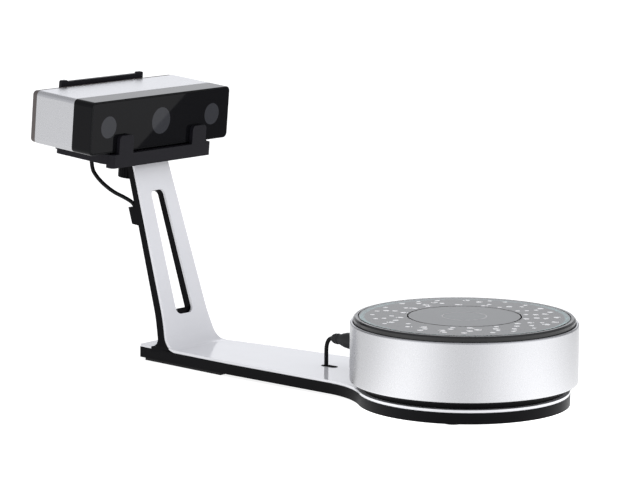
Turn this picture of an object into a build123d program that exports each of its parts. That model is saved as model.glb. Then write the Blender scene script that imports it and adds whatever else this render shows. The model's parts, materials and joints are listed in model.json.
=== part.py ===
from build123d import *
import os
from math import cos, pi, radians, sin

os.makedirs("parts", exist_ok=True)

# Desktop structured-light scanner: a scanning head on a leaning arm, a long base and a turntable.
# X runs along the base from the head towards the turntable, Z is up, and the floor is Z = 0.

# ---------------------------------------------------------------- driving dimensions, mm and degrees
TABLE_X = 177.8          # turntable axis
FOOT_HEIGHT = 2.5        # rubber under the base
BODY_TOP = 12.8          # top of the black base body, under the white cover
COVER_TOP = 15.3         # top of the white cover
COVER_THICK = COVER_TOP - BODY_TOP
WALL = 2.5
ROOF = 2.0
PLATE = 2.0              # bottom cover
GAP = 0.2                # assembly gap between fixed parts
RUN_GAP = 0.4            # gap round parts that turn

# base plan, as distances back from the turntable axis and half widths
DISC_R = 98.0
BAR_HALF = 58.0          # the bar's edges, produced to the turntable axis
WAIST_REACH = 250.0
WAIST_HALF = 45.2
FOOT_REACH = 373.0
FOOT_HALF = 34.0
WAIST_R = 400.0
FLARE_R = 85.0
FOOT_CORNER_R = 3.0
OPEN_JOINT = 0.3         # white cover back from the black body's edge

# arm
ARM_REACH = 334.7        # where the arm's seam plane meets the base's seam plane
ARM_LEAN = 17.2
ARM_LENGTH = 205.0
ARM_THICK_LOW = 8.5
ARM_THICK_HIGH = 6.6
ARM_HALF_ROOT = 36.8
ARM_HALF_LOW = 31.8
ARM_HALF_HIGH = 24.3
ARM_LOW_Z = 44.0
ARM_HIGH_Z = 205.0
ARM_OVER = 15.0          # stock above the arm, trimmed under the cradle
ARM_WAIST_R = 120.0
BEND_R = 16.0
STUB_LENGTH = 36.0
STUB_TAIL = 19.6         # stub's rear edge behind the arm's root
STUB_FILLET_R = 7.0
STUB_NOSE = 32.0
SLOT_LOW = 33.0
SLOT_HIGH = 157.6
SLOT_HALF_LOW = 12.3
SLOT_HALF_HIGH = 9.5
SLOT_LOW_R = 6.5
SLOT_HIGH_R = 5.0
RAIL_WALL = 2.0

# turntable
DRUM_R = 105.0
DRUM_BOTTOM = 22.9
DRUM_TOP = 77.5
DRUM_WALL = 2.7
NECK_R = 93.0
PLATTER_R = DRUM_R - DRUM_WALL - RUN_GAP
PLATTER_FLOOR = 79.6
PLATTER_TOP = 82.5
PLATTER_WEB = 75.5
GLASS_R = 97.4
GLASS_TOP = 82.7
MARKER_R = 91.8
MARKER_THICK = 0.3
SPINDLE_R = 6.0
RUN_FIT = 0.05
PILLAR_TOP = 55.0
RACE_THICK = 2.5
RACE_R = 20.0
BALL_R = 2.0
BALL_COUNT = 12
BALL_CIRCLE = 14.5
CAGE_HALF_W = 3.5
CAGE_THICK = 1.2
RACE_BEVEL = 0.3
MODULE = 1.0
GEAR_TEETH = 120
PINION_TEETH = 15
ADDENDUM = 0.9
DEDENDUM = 1.2
TOOTH_TIP = 0.12         # half widths of a tooth, as shares of the pitch
TOOTH_ROOT = 0.33
GEAR_BOTTOM = 68.5
MOTOR_SIZE = 42.0
MOTOR_HEIGHT = 33.0
MOTOR_ANGLE = 60.0
MOTOR_BOLTS = 31.0       # bolt square of a 42 mm stepper motor
MOTOR_BOLT_R = 1.5
MOTOR_BOLT_DEEP = 5.0
MOTOR_PILOT_R = 11.0
MOTOR_SHAFT_R = 2.5
BOARD_THICK = 1.6

# scanning head, in its own frame: forward, sideways, up from the centre of the front face
HEAD_REACH = 373.3
HEAD_Z = 233.1
HEAD_TILT = 5.0
HEAD_W = 200.6
HEAD_H = 52.2
BEZEL_DEPTH = 24.0
SHELL_END = -74.0
REAR_END = -80.6
HEAD_EDGE_R = 5.0
BEZEL_EDGE_R = 1.0
SHELL_WALL = 2.5
LENS_SPREAD = 75.0
CAMERA_WINDOW_R = 10.8
PROJECTOR_WINDOW_R = 13.2
SWIVEL_A = -35.5         # swivel and thumb screw axis, behind the front face
PORT_SIDE = -76.0
FAN_SIDE = 76.5
FAN_SIZE = 30.0

# cradle, in the head's frame
TRAY_TOP = -27.3
TRAY_BOTTOM = -37.0
TRAY_HALF = 75.0
TRAY_REAR = -72.0
LIP_THICK = 4.5
LIP_BOTTOM = -40.5
HOOK_TOP = -9.0
HOOK_INNER = 43.0
HOOK_OUTER = 63.0
BACK_HALF = 59.0
BACK_FRONT = -81.0
BACK_THICK = 3.5
BACK_TOP = 30.0
BACK_TAB_TOP = 31.4
SWIVEL_BOSS_R = 16.0
WASHER_R = 14.0
WASHER_THICK = 1.0
FLANGE_THICK = 6.0
FLANGE_FRONT = -17.0
FLANGE_REAR = -55.0
KNOB_R = 13.0
KNOB_TOP = -50.0
KNOB_BOTTOM = -62.5
SCREW_R = 3.1
SCREW_CLEAR = 0.2
KNOB_COLLAR_R = 8.0
FLUTES = 24
FLUTE_R = 1.3
FLUTE_OUT = 0.7

# lead between the head and the turntable
LEAD_R = 2.0
LEAD_CLEAR = 0.2
LEAD_DROP = 163.0        # where the lead goes down into the base, behind the turntable axis
LEAD_Z = 7.6
PLUG_Z = 43.0
GLAND_A = -59.0
GLAND_B = -35.0

DRUM_INNER_R = DRUM_R - DRUM_WALL
ON_TOP = (Align.CENTER, Align.CENTER, Align.MIN)
UP = Vector(0, 0, 1)
SIDE = Vector(0, 1, 0)
ARM_UP = Vector(-sin(radians(ARM_LEAN)), 0, cos(radians(ARM_LEAN)))
ARM_OUT = Vector(cos(radians(ARM_LEAN)), 0, sin(radians(ARM_LEAN)))
ARM_ROOT = Vector(TABLE_X - ARM_REACH, 0, BODY_TOP)
HEAD_FORWARD = Vector(cos(radians(HEAD_TILT)), 0, -sin(radians(HEAD_TILT)))
HEAD_UP = Vector(sin(radians(HEAD_TILT)), 0, cos(radians(HEAD_TILT)))
HEAD_ORIGIN = Vector(TABLE_X - HEAD_REACH, 0, HEAD_Z)

pieces = []


def finish(piece, name):
    """Names a finished piece and keeps it for export."""
    piece.part.label = name
    pieces.append(piece.part)


def table_plane(height):
    """Level plane centred on the turntable axis."""
    return Plane((TABLE_X, 0, height))


def arm_plane(depth):
    """Plane along the arm, depth in front of its seam: x is sideways and y runs up the arm."""
    return Plane(ARM_ROOT + ARM_OUT * depth, x_dir=SIDE, z_dir=ARM_OUT)


def arm_point(depth, up_arm):
    """Point in the XZ plane, depth in front of the arm's seam and up_arm along it."""
    spot = ARM_ROOT + ARM_OUT * depth + ARM_UP * up_arm
    return (spot.X, spot.Z)


def plug_plane(x, facing):
    """Plane across the plug's axis at x, facing along X with the sign given."""
    return Plane((x, 0, PLUG_Z), x_dir=SIDE, z_dir=Vector(facing, 0, 0))


def head_point(forward, sideways, upward):
    """Point in the part's frame from the head's own coordinates."""
    return HEAD_ORIGIN + HEAD_FORWARD * forward + SIDE * sideways + HEAD_UP * upward


def head_deck(upward, forward=0, sideways=0):
    """Plane along the head's underside: x is forward and y is sideways."""
    return Plane(head_point(forward, sideways, upward), x_dir=HEAD_FORWARD, z_dir=HEAD_UP)


def head_face(forward, sideways=0, upward=0):
    """Plane across the head: x is sideways and y is up."""
    return Plane(head_point(forward, sideways, upward), x_dir=SIDE, z_dir=HEAD_FORWARD)


def base_outline(inset):
    """Plan of the base: a disc, a tapering bar and the foot, inset from the true edge."""
    with BuildSketch(Plane.XY) as outline:
        with Locations((TABLE_X, 0)):
            Circle(DISC_R)
        with BuildLine():
            Polyline(
                (TABLE_X, BAR_HALF),
                (TABLE_X - WAIST_REACH, WAIST_HALF),
                (TABLE_X - FOOT_REACH, FOOT_HALF),
                (TABLE_X - FOOT_REACH, -FOOT_HALF),
                (TABLE_X - WAIST_REACH, -WAIST_HALF),
                (TABLE_X, -BAR_HALF),
                close=True,
            )
        make_face()
        waist = [v for v in outline.vertices() if abs(v.X - TABLE_X + WAIST_REACH) < 1]
        fillet(waist, radius=WAIST_R)
        neck = [v for v in outline.vertices() if -DISC_R < v.X - TABLE_X < -DISC_R / 2]
        fillet(neck, radius=FLARE_R)
        foot = [v for v in outline.vertices() if abs(v.X - TABLE_X + FOOT_REACH) < 1]
        fillet(foot, radius=FOOT_CORNER_R)
        if inset:
            offset(amount=-inset, kind=Kind.INTERSECTION, mode=Mode.REPLACE)
    return outline.sketch


def arm_front_outline(inset):
    """Outline of the arm seen from the front, flaring at the root to meet the bar."""
    with BuildSketch(Plane.XY) as outline:
        with BuildLine():
            right = Polyline(
                (ARM_HALF_HIGH, ARM_HIGH_Z + ARM_OVER),
                (ARM_HALF_HIGH, ARM_HIGH_Z),
                (ARM_HALF_LOW, ARM_LOW_Z),
                (ARM_HALF_ROOT, COVER_TOP + 1),
                (ARM_HALF_ROOT, BODY_TOP - ROOF),
            )
            mirror(right, about=Plane.YZ)
            Line((-ARM_HALF_HIGH, ARM_HIGH_Z + ARM_OVER), (ARM_HALF_HIGH, ARM_HIGH_Z + ARM_OVER))
            Line((-ARM_HALF_ROOT, BODY_TOP - ROOF), (ARM_HALF_ROOT, BODY_TOP - ROOF))
        make_face()
        low = [v for v in outline.vertices() if abs(v.Y - ARM_LOW_Z) < 1]
        fillet(low, radius=ARM_WAIST_R)
        if inset:
            offset(amount=-inset, kind=Kind.INTERSECTION, mode=Mode.REPLACE)
    return outline.sketch


def slot_outline(extra):
    """The arm's long slot on the arm's plane, grown by extra, round at both ends."""
    with BuildSketch(Plane.XY) as outline:
        with BuildLine():
            Polyline(
                (-SLOT_HALF_LOW, SLOT_LOW),
                (SLOT_HALF_LOW, SLOT_LOW),
                (SLOT_HALF_HIGH, SLOT_HIGH),
                (-SLOT_HALF_HIGH, SLOT_HIGH),
                close=True,
            )
        make_face()
        fillet(outline.vertices().group_by(Axis.Y)[0], radius=SLOT_LOW_R)
        fillet(outline.vertices().group_by(Axis.Y)[-1], radius=SLOT_HIGH_R)
        if extra:
            offset(amount=extra, kind=Kind.ARC, mode=Mode.REPLACE)
    return outline.sketch


def gear_outline(teeth, bore, turn=0.0):
    """Spur gear on a level plane: straight-flanked teeth with backlash, and a round bore."""
    pitch_r = MODULE * teeth / 2
    root_r = pitch_r - DEDENDUM * MODULE
    tip_r = pitch_r + ADDENDUM * MODULE
    step = 2 * pi / teeth
    corners = []
    for tooth in range(teeth):
        middle = tooth * step + radians(turn)
        for radius, share in (
            (root_r, -TOOTH_ROOT),
            (tip_r, -TOOTH_TIP),
            (tip_r, TOOTH_TIP),
            (root_r, TOOTH_ROOT),
        ):
            angle = middle + share * step
            corners.append((radius * cos(angle), radius * sin(angle)))
    with BuildSketch(Plane.XY) as outline:
        with BuildLine():
            Polyline(*corners, close=True)
        make_face()
        Circle(bore, mode=Mode.SUBTRACT)
    return outline.sketch


# ---------------------------------------------------------------- the lead's route
# Chosen by hand: turntable plug, down into the base, along it, up inside the arm's near rail,
# out at the clip behind the arm, and in a loop up to the gland under the head.
RAIL_LOW = (TABLE_X - 359.5, -19.0, 84.0)
RAIL_HIGH = (TABLE_X - 374.8, -19.4, 132.0)
LOWER_ROUTE = [
    (TABLE_X - 154.0, 0, PLUG_Z),
    (TABLE_X - LEAD_DROP, 0, PLUG_Z),
    (TABLE_X - LEAD_DROP, 0, LEAD_Z),
    (TABLE_X - 200.0, -3.0, LEAD_Z),
    (TABLE_X - 245.0, -12.0, LEAD_Z),
    (TABLE_X - 290.0, -17.0, LEAD_Z),
    (TABLE_X - 337.5, -19.0, LEAD_Z),
    (TABLE_X - 348.0, -19.2, 46.0),
    RAIL_LOW,
    tuple((low + high) / 2 for low, high in zip(RAIL_LOW, RAIL_HIGH)),
]
UPPER_ROUTE = [
    LOWER_ROUTE[-1],
    RAIL_HIGH,
    (TABLE_X - 387.5, -19.8, 141.5),
    (TABLE_X - 391.0, -20.6, 151.5),
    (TABLE_X - 399.0, -24.6, 156.8),
    (TABLE_X - 412.5, -29.5, 162.5),
    (TABLE_X - 427.0, -34.0, 174.0),
    tuple(head_point(GLAND_A, GLAND_B, -52.0)),
]
LOWER_RADII = [8.0, 6.0, 60.0, 90.0, 120.0, 14.0, 150.0, 150.0]
UPPER_RADII = [12.0, 7.0, 8.0, 14.0, 24.0, 22.0, 30.0]

with BuildLine() as lower_path:
    FilletPolyline(*LOWER_ROUTE, radius=LOWER_RADII)

gland_root = head_point(GLAND_A, GLAND_B, -HEAD_H / 2 + SHELL_WALL + 1)
upper_points = UPPER_ROUTE + [tuple(gland_root)]
with BuildLine() as upper_path:
    FilletPolyline(*upper_points, radius=UPPER_RADII)


def lead_tube(path, radius):
    """Round tube along a path, for the lead or for the channel that it runs in."""
    wire = path.wires()[0]
    with BuildPart() as tube:
        with BuildSketch(Plane(wire @ 0, z_dir=wire % 0)):
            Circle(radius)
        sweep(path=wire)
    return tube.part


lead_length = lower_path.wires()[0].length + upper_path.wires()[0].length
print("lead, from plug to gland:", round(lead_length), "mm")


# ---------------------------------------------------------------- stand
INNER_INSET = WALL + GAP
BOSS_R = 4.0
PILOT_R = 1.3
PILOT_DEEP = 8.0
SHANK_R = 1.25
SHANK_CLEAR_R = 1.7
PAN_R = 2.8
PAN_HEIGHT = 1.1
RECESS_SHARE = 0.35      # driver recess over head radius
RECESS_FLOOR = 0.3       # solid share of the head under the recess
SINK_R = 3.0
SINK_DEEP = 1.2
BASE_SCREWS = [
    (TABLE_X - 366.0, 22.0),
    (TABLE_X - 366.0, -22.0),
    (TABLE_X - 240.0, 36.0),
    (TABLE_X - 240.0, -36.0),
    (TABLE_X - 125.0, 40.0),
    (TABLE_X - 125.0, -40.0),
    (TABLE_X + 84.0, 22.0),
    (TABLE_X + 84.0, -22.0),
]
TABLE_SCREW_CIRCLE = 62.0
TABLE_SCREW_ANGLES = (45.0, 135.0, 225.0, 315.0)
ARM_SCREW_SIDE = 8.0
ARM_SCREW_UP = (18.0, 28.0)
HOLE_LONG = 18.0
HOLE_SHORT = 8.0
HOLE_X = TABLE_X - LEAD_DROP + 4.0
LIP = 1.2
TONGUE_HALF = 13.0
TONGUE_BACK = -5.6
TONGUE_FRONT = -2.3
POCKET_BACK = -6.0


def ring_points(radius, angles):
    """Points round the turntable axis."""
    return [(TABLE_X + radius * cos(radians(a)), radius * sin(radians(a))) for a in angles]


def back_depth(up_arm):
    """Depth of the arm's back face below its seam, which thins towards the top."""
    return -(ARM_THICK_LOW + (ARM_THICK_HIGH - ARM_THICK_LOW) * up_arm / ARM_LENGTH)


def behind_arm(out, up_arm):
    """Point in the XZ plane, out behind the arm's back face and up_arm along it."""
    return arm_point(back_depth(up_arm) - out, up_arm)


# where the arm's back face meets the level of the white cover
BACK_ROOT_UP = (COVER_THICK + ARM_THICK_LOW * sin(radians(ARM_LEAN))) / cos(radians(ARM_LEAN))

# the arm's root: a stub on the base body, hollow from the front
with BuildPart() as arm_stub:
    with BuildSketch(Plane.XZ) as stub_side:
        with BuildLine():
            Polyline(
                arm_point(0, STUB_LENGTH),
                (ARM_ROOT.X, BODY_TOP),
                (ARM_ROOT.X + STUB_NOSE, BODY_TOP),
                (ARM_ROOT.X + STUB_NOSE, BODY_TOP - ROOF),
                (ARM_ROOT.X - STUB_TAIL, BODY_TOP - ROOF),
                (ARM_ROOT.X - STUB_TAIL, COVER_TOP),
                arm_point(back_depth(BACK_ROOT_UP), BACK_ROOT_UP),
                arm_point(back_depth(STUB_LENGTH), STUB_LENGTH),
                close=True,
            )
        make_face()
        heel_x, heel_z = arm_point(back_depth(BACK_ROOT_UP), BACK_ROOT_UP)
        heel = stub_side.vertices().sort_by_distance(Vector(heel_x, heel_z, 0))[0]
        fillet(heel, radius=STUB_FILLET_R)
        corner = stub_side.vertices().sort_by_distance(Vector(ARM_ROOT.X, BODY_TOP, 0))[0]
        fillet(corner, radius=BEND_R + COVER_THICK)
    extrude(amount=DISC_R, both=True)
    with BuildSketch(Plane.YZ):
        add(arm_front_outline(0))
    extrude(amount=DRUM_R * 5, both=True, mode=Mode.INTERSECT)
    with BuildSketch(arm_plane(2)):
        with Locations((0, STUB_LENGTH / 2 + 5)):
            Rectangle(2 * TONGUE_HALF + 2 * GAP, STUB_LENGTH - 2)
        with Locations((-20.0, STUB_LENGTH / 2 + 3)):
            Rectangle(10, STUB_LENGTH + 2)
        with Locations((20.0, STUB_LENGTH / 2 + 3)):
            Rectangle(10, STUB_LENGTH + 2)
    extrude(amount=POCKET_BACK - 2, mode=Mode.SUBTRACT)

lower_channel = lead_tube(lower_path, LEAD_R + LEAD_CLEAR)
upper_channel = lead_tube(upper_path, LEAD_R + LEAD_CLEAR)

with BuildPart() as base_body:
    with BuildSketch(Plane.XY.offset(FOOT_HEIGHT)):
        add(base_outline(0))
    extrude(amount=BODY_TOP - FOOT_HEIGHT)
    with BuildSketch(Plane.XY.offset(FOOT_HEIGHT)):
        add(base_outline(WALL))
    extrude(amount=BODY_TOP - FOOT_HEIGHT - ROOF, mode=Mode.SUBTRACT)
    with BuildSketch(Plane.XY.offset(FOOT_HEIGHT + PLATE)):
        with Locations(*BASE_SCREWS, *ring_points(TABLE_SCREW_CIRCLE, TABLE_SCREW_ANGLES)):
            Circle(BOSS_R)
    extrude(amount=BODY_TOP - FOOT_HEIGHT - PLATE)
    with Locations(*[(x, y, FOOT_HEIGHT) for x, y in BASE_SCREWS]):
        Cylinder(PILOT_R, PILOT_DEEP, align=ON_TOP, mode=Mode.SUBTRACT)
    with Locations(*[(x, y, 0) for x, y in ring_points(TABLE_SCREW_CIRCLE, TABLE_SCREW_ANGLES)]):
        Cylinder(SHANK_CLEAR_R, BODY_TOP + 1, align=ON_TOP, mode=Mode.SUBTRACT)
    add(arm_stub.part)
    with BuildSketch(Plane.XY.offset(BODY_TOP - ROOF)):
        with Locations((HOLE_X, 0)):
            SlotOverall(HOLE_LONG, HOLE_SHORT)
    extrude(amount=ROOF, mode=Mode.SUBTRACT)
    add(lower_channel, mode=Mode.SUBTRACT)
    with BuildSketch(arm_plane(POCKET_BACK - 6)):
        with Locations(*[(y, s) for y in (-ARM_SCREW_SIDE, ARM_SCREW_SIDE) for s in ARM_SCREW_UP]):
            Circle(SHANK_CLEAR_R)
    extrude(amount=8, mode=Mode.SUBTRACT)
finish(base_body, "base_body")

with BuildPart() as bottom_cover:
    with BuildSketch(Plane.XY.offset(FOOT_HEIGHT)):
        add(base_outline(INNER_INSET))
    extrude(amount=PLATE)
    with BuildSketch(Plane.XY.offset(FOOT_HEIGHT)):
        with Locations(*BASE_SCREWS, *ring_points(TABLE_SCREW_CIRCLE, TABLE_SCREW_ANGLES)):
            Circle(SHANK_CLEAR_R)
    extrude(amount=PLATE, mode=Mode.SUBTRACT)
    with BuildSketch(Plane.XY.offset(FOOT_HEIGHT)):
        with Locations(*BASE_SCREWS, *ring_points(TABLE_SCREW_CIRCLE, TABLE_SCREW_ANGLES)):
            Circle(SINK_R)
    extrude(amount=SINK_DEEP, mode=Mode.SUBTRACT)
finish(bottom_cover, "bottom_cover")


def screw_set(spots, length):
    """Pan-head screws pointing up, seated in the bottom cover's counterbores."""
    seat = FOOT_HEIGHT + SINK_DEEP
    web = PAN_HEIGHT * RECESS_FLOOR
    with BuildPart() as screws:
        for x, y in spots:
            with BuildSketch(Plane((x, y, seat - PAN_HEIGHT))):
                Circle(PAN_R)
                Circle(PAN_R * RECESS_SHARE, mode=Mode.SUBTRACT)
            extrude(amount=PAN_HEIGHT - web)
            with BuildSketch(Plane((x, y, seat - web))):
                Circle(PAN_R)
            extrude(amount=web)
            with BuildSketch(Plane((x, y, seat))):
                Circle(SHANK_R)
            extrude(amount=length)
    return screws


BASE_SCREW_LENGTH = 6.0
TABLE_SCREW_LENGTH = 17.5
base_screws = screw_set(BASE_SCREWS, BASE_SCREW_LENGTH)
finish(base_screws, "base_screws")

# white cover: one plate over the disc and the bar that bends up the front of the arm
with BuildPart() as top_cover:
    outer_rise = COVER_THICK * (1 - sin(radians(ARM_LEAN))) / cos(radians(ARM_LEAN))
    with BuildSketch(Plane.XZ) as cover_side:
        with BuildLine():
            Polyline(
                (TABLE_X + DRUM_R, BODY_TOP),
                (ARM_ROOT.X, BODY_TOP),
                arm_point(0, ARM_LENGTH + 20),
                arm_point(COVER_THICK, ARM_LENGTH + 20),
                arm_point(COVER_THICK, outer_rise),
                (TABLE_X + DRUM_R, COVER_TOP),
                close=True,
            )
        make_face()
        back_corner = cover_side.vertices().sort_by_distance(Vector(ARM_ROOT.X, BODY_TOP, 0))[0]
        fillet(back_corner, radius=BEND_R + COVER_THICK)
        bend_x, bend_z = arm_point(COVER_THICK, outer_rise)
        front_corner = cover_side.vertices().sort_by_distance(Vector(bend_x, bend_z, 0))[0]
        fillet(front_corner, radius=BEND_R)
    extrude(amount=DRUM_R, both=True)
    with BuildSketch(Plane.XY):
        add(base_outline(OPEN_JOINT))
        with Locations((TABLE_X - 400, 0)):
            Rectangle(140, 2 * ARM_HALF_ROOT)
    extrude(amount=HEAD_Z, mode=Mode.INTERSECT)
    with BuildSketch(Plane.YZ):
        add(arm_front_outline(OPEN_JOINT))
        with Locations((0, BODY_TOP / 2 + COVER_TOP / 2)):
            Rectangle(2 * DRUM_R, COVER_THICK + 1.4)
    extrude(amount=DRUM_R * 5, both=True, mode=Mode.INTERSECT)
    with BuildSketch(arm_plane(-1)):
        add(slot_outline(0))
    extrude(amount=COVER_THICK + 2, mode=Mode.SUBTRACT)
    with BuildSketch(Plane.XY.offset(BODY_TOP)):
        with Locations((HOLE_X, 0)):
            SlotOverall(HOLE_LONG, HOLE_SHORT)
        with Locations(*ring_points(TABLE_SCREW_CIRCLE, TABLE_SCREW_ANGLES)):
            Circle(SHANK_CLEAR_R)
    extrude(amount=COVER_THICK, mode=Mode.SUBTRACT)
    split(bisect_by=head_deck(TRAY_BOTTOM - WASHER_THICK - 1.0), keep=Keep.BOTTOM)
finish(top_cover, "top_cover")

CAP_REACH = 60.0
CAP_BEVEL = 0.6
with BuildPart() as foot_cap:
    with BuildSketch(Plane.XY.offset(BODY_TOP)):
        add(base_outline(OPEN_JOINT))
        with Locations((ARM_ROOT.X - STUB_TAIL - GAP - CAP_REACH / 2, 0)):
            Rectangle(CAP_REACH, 2 * DRUM_R, mode=Mode.INTERSECT)
    extrude(amount=COVER_THICK)
    chamfer(foot_cap.faces().sort_by(Axis.Z)[-1].edges(), length=CAP_BEVEL)
finish(foot_cap, "foot_cap")

# arm frame: a black trough behind the white cover, with a tongue in the stub and a flange on top
with BuildPart() as arm_frame:
    with BuildSketch(Plane.XZ):
        with BuildLine():
            Polyline(
                arm_point(0, STUB_LENGTH),
                arm_point(0, ARM_LENGTH + 15),
                arm_point(back_depth(ARM_LENGTH + 15), ARM_LENGTH + 15),
                arm_point(back_depth(STUB_LENGTH), STUB_LENGTH),
                close=True,
            )
        make_face()
    extrude(amount=DISC_R, both=True)
    with BuildSketch(Plane.YZ):
        add(arm_front_outline(0))
    extrude(amount=DRUM_R * 5, both=True, mode=Mode.INTERSECT)
    # hollow rails beside the slot, open to the front
    for hand in (-1, 1):
        with BuildSketch(arm_plane(1)):
            with BuildLine():
                Polyline(
                    (hand * (SLOT_HALF_LOW + RAIL_WALL), STUB_LENGTH + 12),
                    (hand * (ARM_HALF_LOW - WALL), STUB_LENGTH + 12),
                    (hand * (ARM_HALF_HIGH - WALL), ARM_LENGTH - 18),
                    (hand * (SLOT_HALF_HIGH + RAIL_WALL), ARM_LENGTH - 18),
                    close=True,
                )
            make_face()
        extrude(amount=-(1 + ARM_THICK_HIGH - RAIL_WALL), mode=Mode.SUBTRACT)
    with BuildSketch(arm_plane(1)):
        with Locations((-19.5, STUB_LENGTH + 6)):
            Rectangle(9, 14)
    extrude(amount=-(1 + ARM_THICK_HIGH - RAIL_WALL), mode=Mode.SUBTRACT)
    with BuildSketch(arm_plane(1)):
        add(slot_outline(0))
    extrude(amount=-(ARM_THICK_LOW + 3), mode=Mode.SUBTRACT)
    with BuildSketch(arm_plane(TONGUE_FRONT)):
        with Locations((0, STUB_LENGTH - 9)):
            Rectangle(2 * TONGUE_HALF, 24)
    extrude(amount=TONGUE_BACK - TONGUE_FRONT)
    with BuildSketch(arm_plane(TONGUE_BACK - 1)):
        with Locations(*[(y, s) for y in (-ARM_SCREW_SIDE, ARM_SCREW_SIDE) for s in ARM_SCREW_UP]):
            Circle(PILOT_R)
    extrude(amount=TONGUE_FRONT - TONGUE_BACK + 2, mode=Mode.SUBTRACT)
    flange_c = TRAY_BOTTOM - WASHER_THICK
    with BuildSketch(head_deck(flange_c - FLANGE_THICK)):
        with Locations(((FLANGE_FRONT + FLANGE_REAR) / 2, 0)):
            RectangleRounded(FLANGE_FRONT - FLANGE_REAR, 2 * ARM_HALF_HIGH - 4, 8)
    extrude(amount=FLANGE_THICK)
    split(bisect_by=head_deck(flange_c), keep=Keep.BOTTOM)
    with BuildSketch(head_deck(flange_c - FLANGE_THICK, SWIVEL_A)):
        Circle(SCREW_R + SCREW_CLEAR)
    extrude(amount=FLANGE_THICK, mode=Mode.SUBTRACT)
    add(lower_channel, mode=Mode.SUBTRACT)
    add(upper_channel, mode=Mode.SUBTRACT)
finish(arm_frame, "arm_frame")

ARM_PAN = 1.6
with BuildPart() as arm_screws:
    for side in (-ARM_SCREW_SIDE, ARM_SCREW_SIDE):
        for up_arm in ARM_SCREW_UP:
            seat = back_depth(up_arm) - RUN_FIT
            with BuildSketch(arm_plane(seat - ARM_PAN)):
                with Locations((side, up_arm)):
                    Circle(PAN_R)
            extrude(amount=ARM_PAN)
            with BuildSketch(arm_plane(seat)):
                with Locations((side, up_arm)):
                    Circle(SHANK_R)
            extrude(amount=TONGUE_FRONT - seat)
finish(arm_screws, "arm_screws")

PAD_INSET = 1.2
PAD_REACH = 312.0
PAD_LENGTH = 106.0
PAD_HOLE_R = 3.4
FEET_CIRCLE = 80.0
FEET_R = 9.0

# clip behind the near rail that turns the lead into the arm
CLIP_LOW = 126.5
CLIP_HIGH = 147.0
CLIP_LEDGE = 4.0
CLIP_DEEP = 10.5
with BuildPart() as cable_clip:
    with BuildSketch(Plane.XZ.offset(11.8)):
        with BuildLine():
            Polyline(
                behind_arm(RUN_FIT, CLIP_LOW - CLIP_LEDGE),
                behind_arm(2.2, CLIP_LOW - CLIP_LEDGE),
                behind_arm(2.2, CLIP_LOW),
                behind_arm(CLIP_DEEP, CLIP_LOW + 3.5),
                behind_arm(CLIP_DEEP, CLIP_HIGH),
                behind_arm(RUN_FIT, CLIP_HIGH - 2.5),
                close=True,
            )
        make_face()
    extrude(amount=13.0)
    add(upper_channel, mode=Mode.SUBTRACT)
finish(cable_clip, "cable_clip")


# one long pad under the foot and three round feet under the disc
with BuildPart() as rubber_feet:
    with BuildSketch(Plane.XY):
        add(base_outline(PAD_INSET))
        with Locations((TABLE_X - PAD_REACH, 0)):
            Rectangle(PAD_LENGTH, 2 * DISC_R, mode=Mode.INTERSECT)
        with Locations(*ring_points(FEET_CIRCLE, (60.0, 180.0, 300.0))):
            Circle(FEET_R)
    extrude(amount=FOOT_HEIGHT)
    with Locations(*[(x, y, 0) for x, y in BASE_SCREWS[:2]]):
        Cylinder(PAD_HOLE_R, 2 * FOOT_HEIGHT, mode=Mode.SUBTRACT)
finish(rubber_feet, "rubber_feet")

with BuildPart() as cable_grommet:
    with BuildSketch(Plane.XY.offset(BODY_TOP - ROOF)):
        with Locations((HOLE_X, 0)):
            SlotOverall(HOLE_LONG - 2 * RUN_FIT, HOLE_SHORT - 2 * RUN_FIT)
            SlotOverall(HOLE_LONG - 2 * LIP, HOLE_SHORT - 2 * LIP, mode=Mode.SUBTRACT)
    extrude(amount=COVER_TOP - BODY_TOP + ROOF + 0.3)
finish(cable_grommet, "cable_grommet")

# ---------------------------------------------------------------- turntable
FLOOR_THICK = 2.6
FLOOR_DROP = 1.6         # drum floor's underside below the drum's lower rim
PILLAR_FOOT_R = 34.0
PILLAR_HEAD_R = 23.0
DRUM_BEVEL = 0.9
PLATE_THICK = 2.0
SOCKET_R = 8.2
PLUG_R = 7.9
SOCKET_DEPTH = 14.0

with BuildPart() as drum_base:
    with BuildSketch(table_plane(COVER_TOP)):
        Circle(NECK_R)
    extrude(amount=DRUM_BOTTOM - COVER_TOP - FLOOR_DROP)
    with BuildSketch(table_plane(COVER_TOP)):
        Circle(NECK_R - WALL)
    extrude(amount=DRUM_BOTTOM - COVER_TOP - FLOOR_DROP, mode=Mode.SUBTRACT)
    with BuildSketch(table_plane(DRUM_BOTTOM - FLOOR_DROP)):
        Circle(DRUM_INNER_R - 0.1)
    extrude(amount=FLOOR_THICK)
    with BuildSketch(table_plane(COVER_TOP)):
        with PolarLocations(TABLE_SCREW_CIRCLE, len(TABLE_SCREW_ANGLES), start_angle=45):
            Circle(BOSS_R + 1)
    extrude(amount=DRUM_BOTTOM - COVER_TOP)
    with BuildSketch(table_plane(DRUM_BOTTOM)) as pillar_foot:
        Circle(PILLAR_FOOT_R)
    with BuildSketch(table_plane(PILLAR_TOP)) as pillar_head:
        Circle(PILLAR_HEAD_R)
    loft()
    with BuildSketch(table_plane(COVER_TOP)):
        Circle(SPINDLE_R)
        with PolarLocations(TABLE_SCREW_CIRCLE, len(TABLE_SCREW_ANGLES), start_angle=45):
            Circle(PILOT_R)
    extrude(amount=PILLAR_TOP, mode=Mode.SUBTRACT)
finish(drum_base, "drum_base")

table_screws = screw_set(ring_points(TABLE_SCREW_CIRCLE, TABLE_SCREW_ANGLES), TABLE_SCREW_LENGTH)
finish(table_screws, "table_screws")

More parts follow.
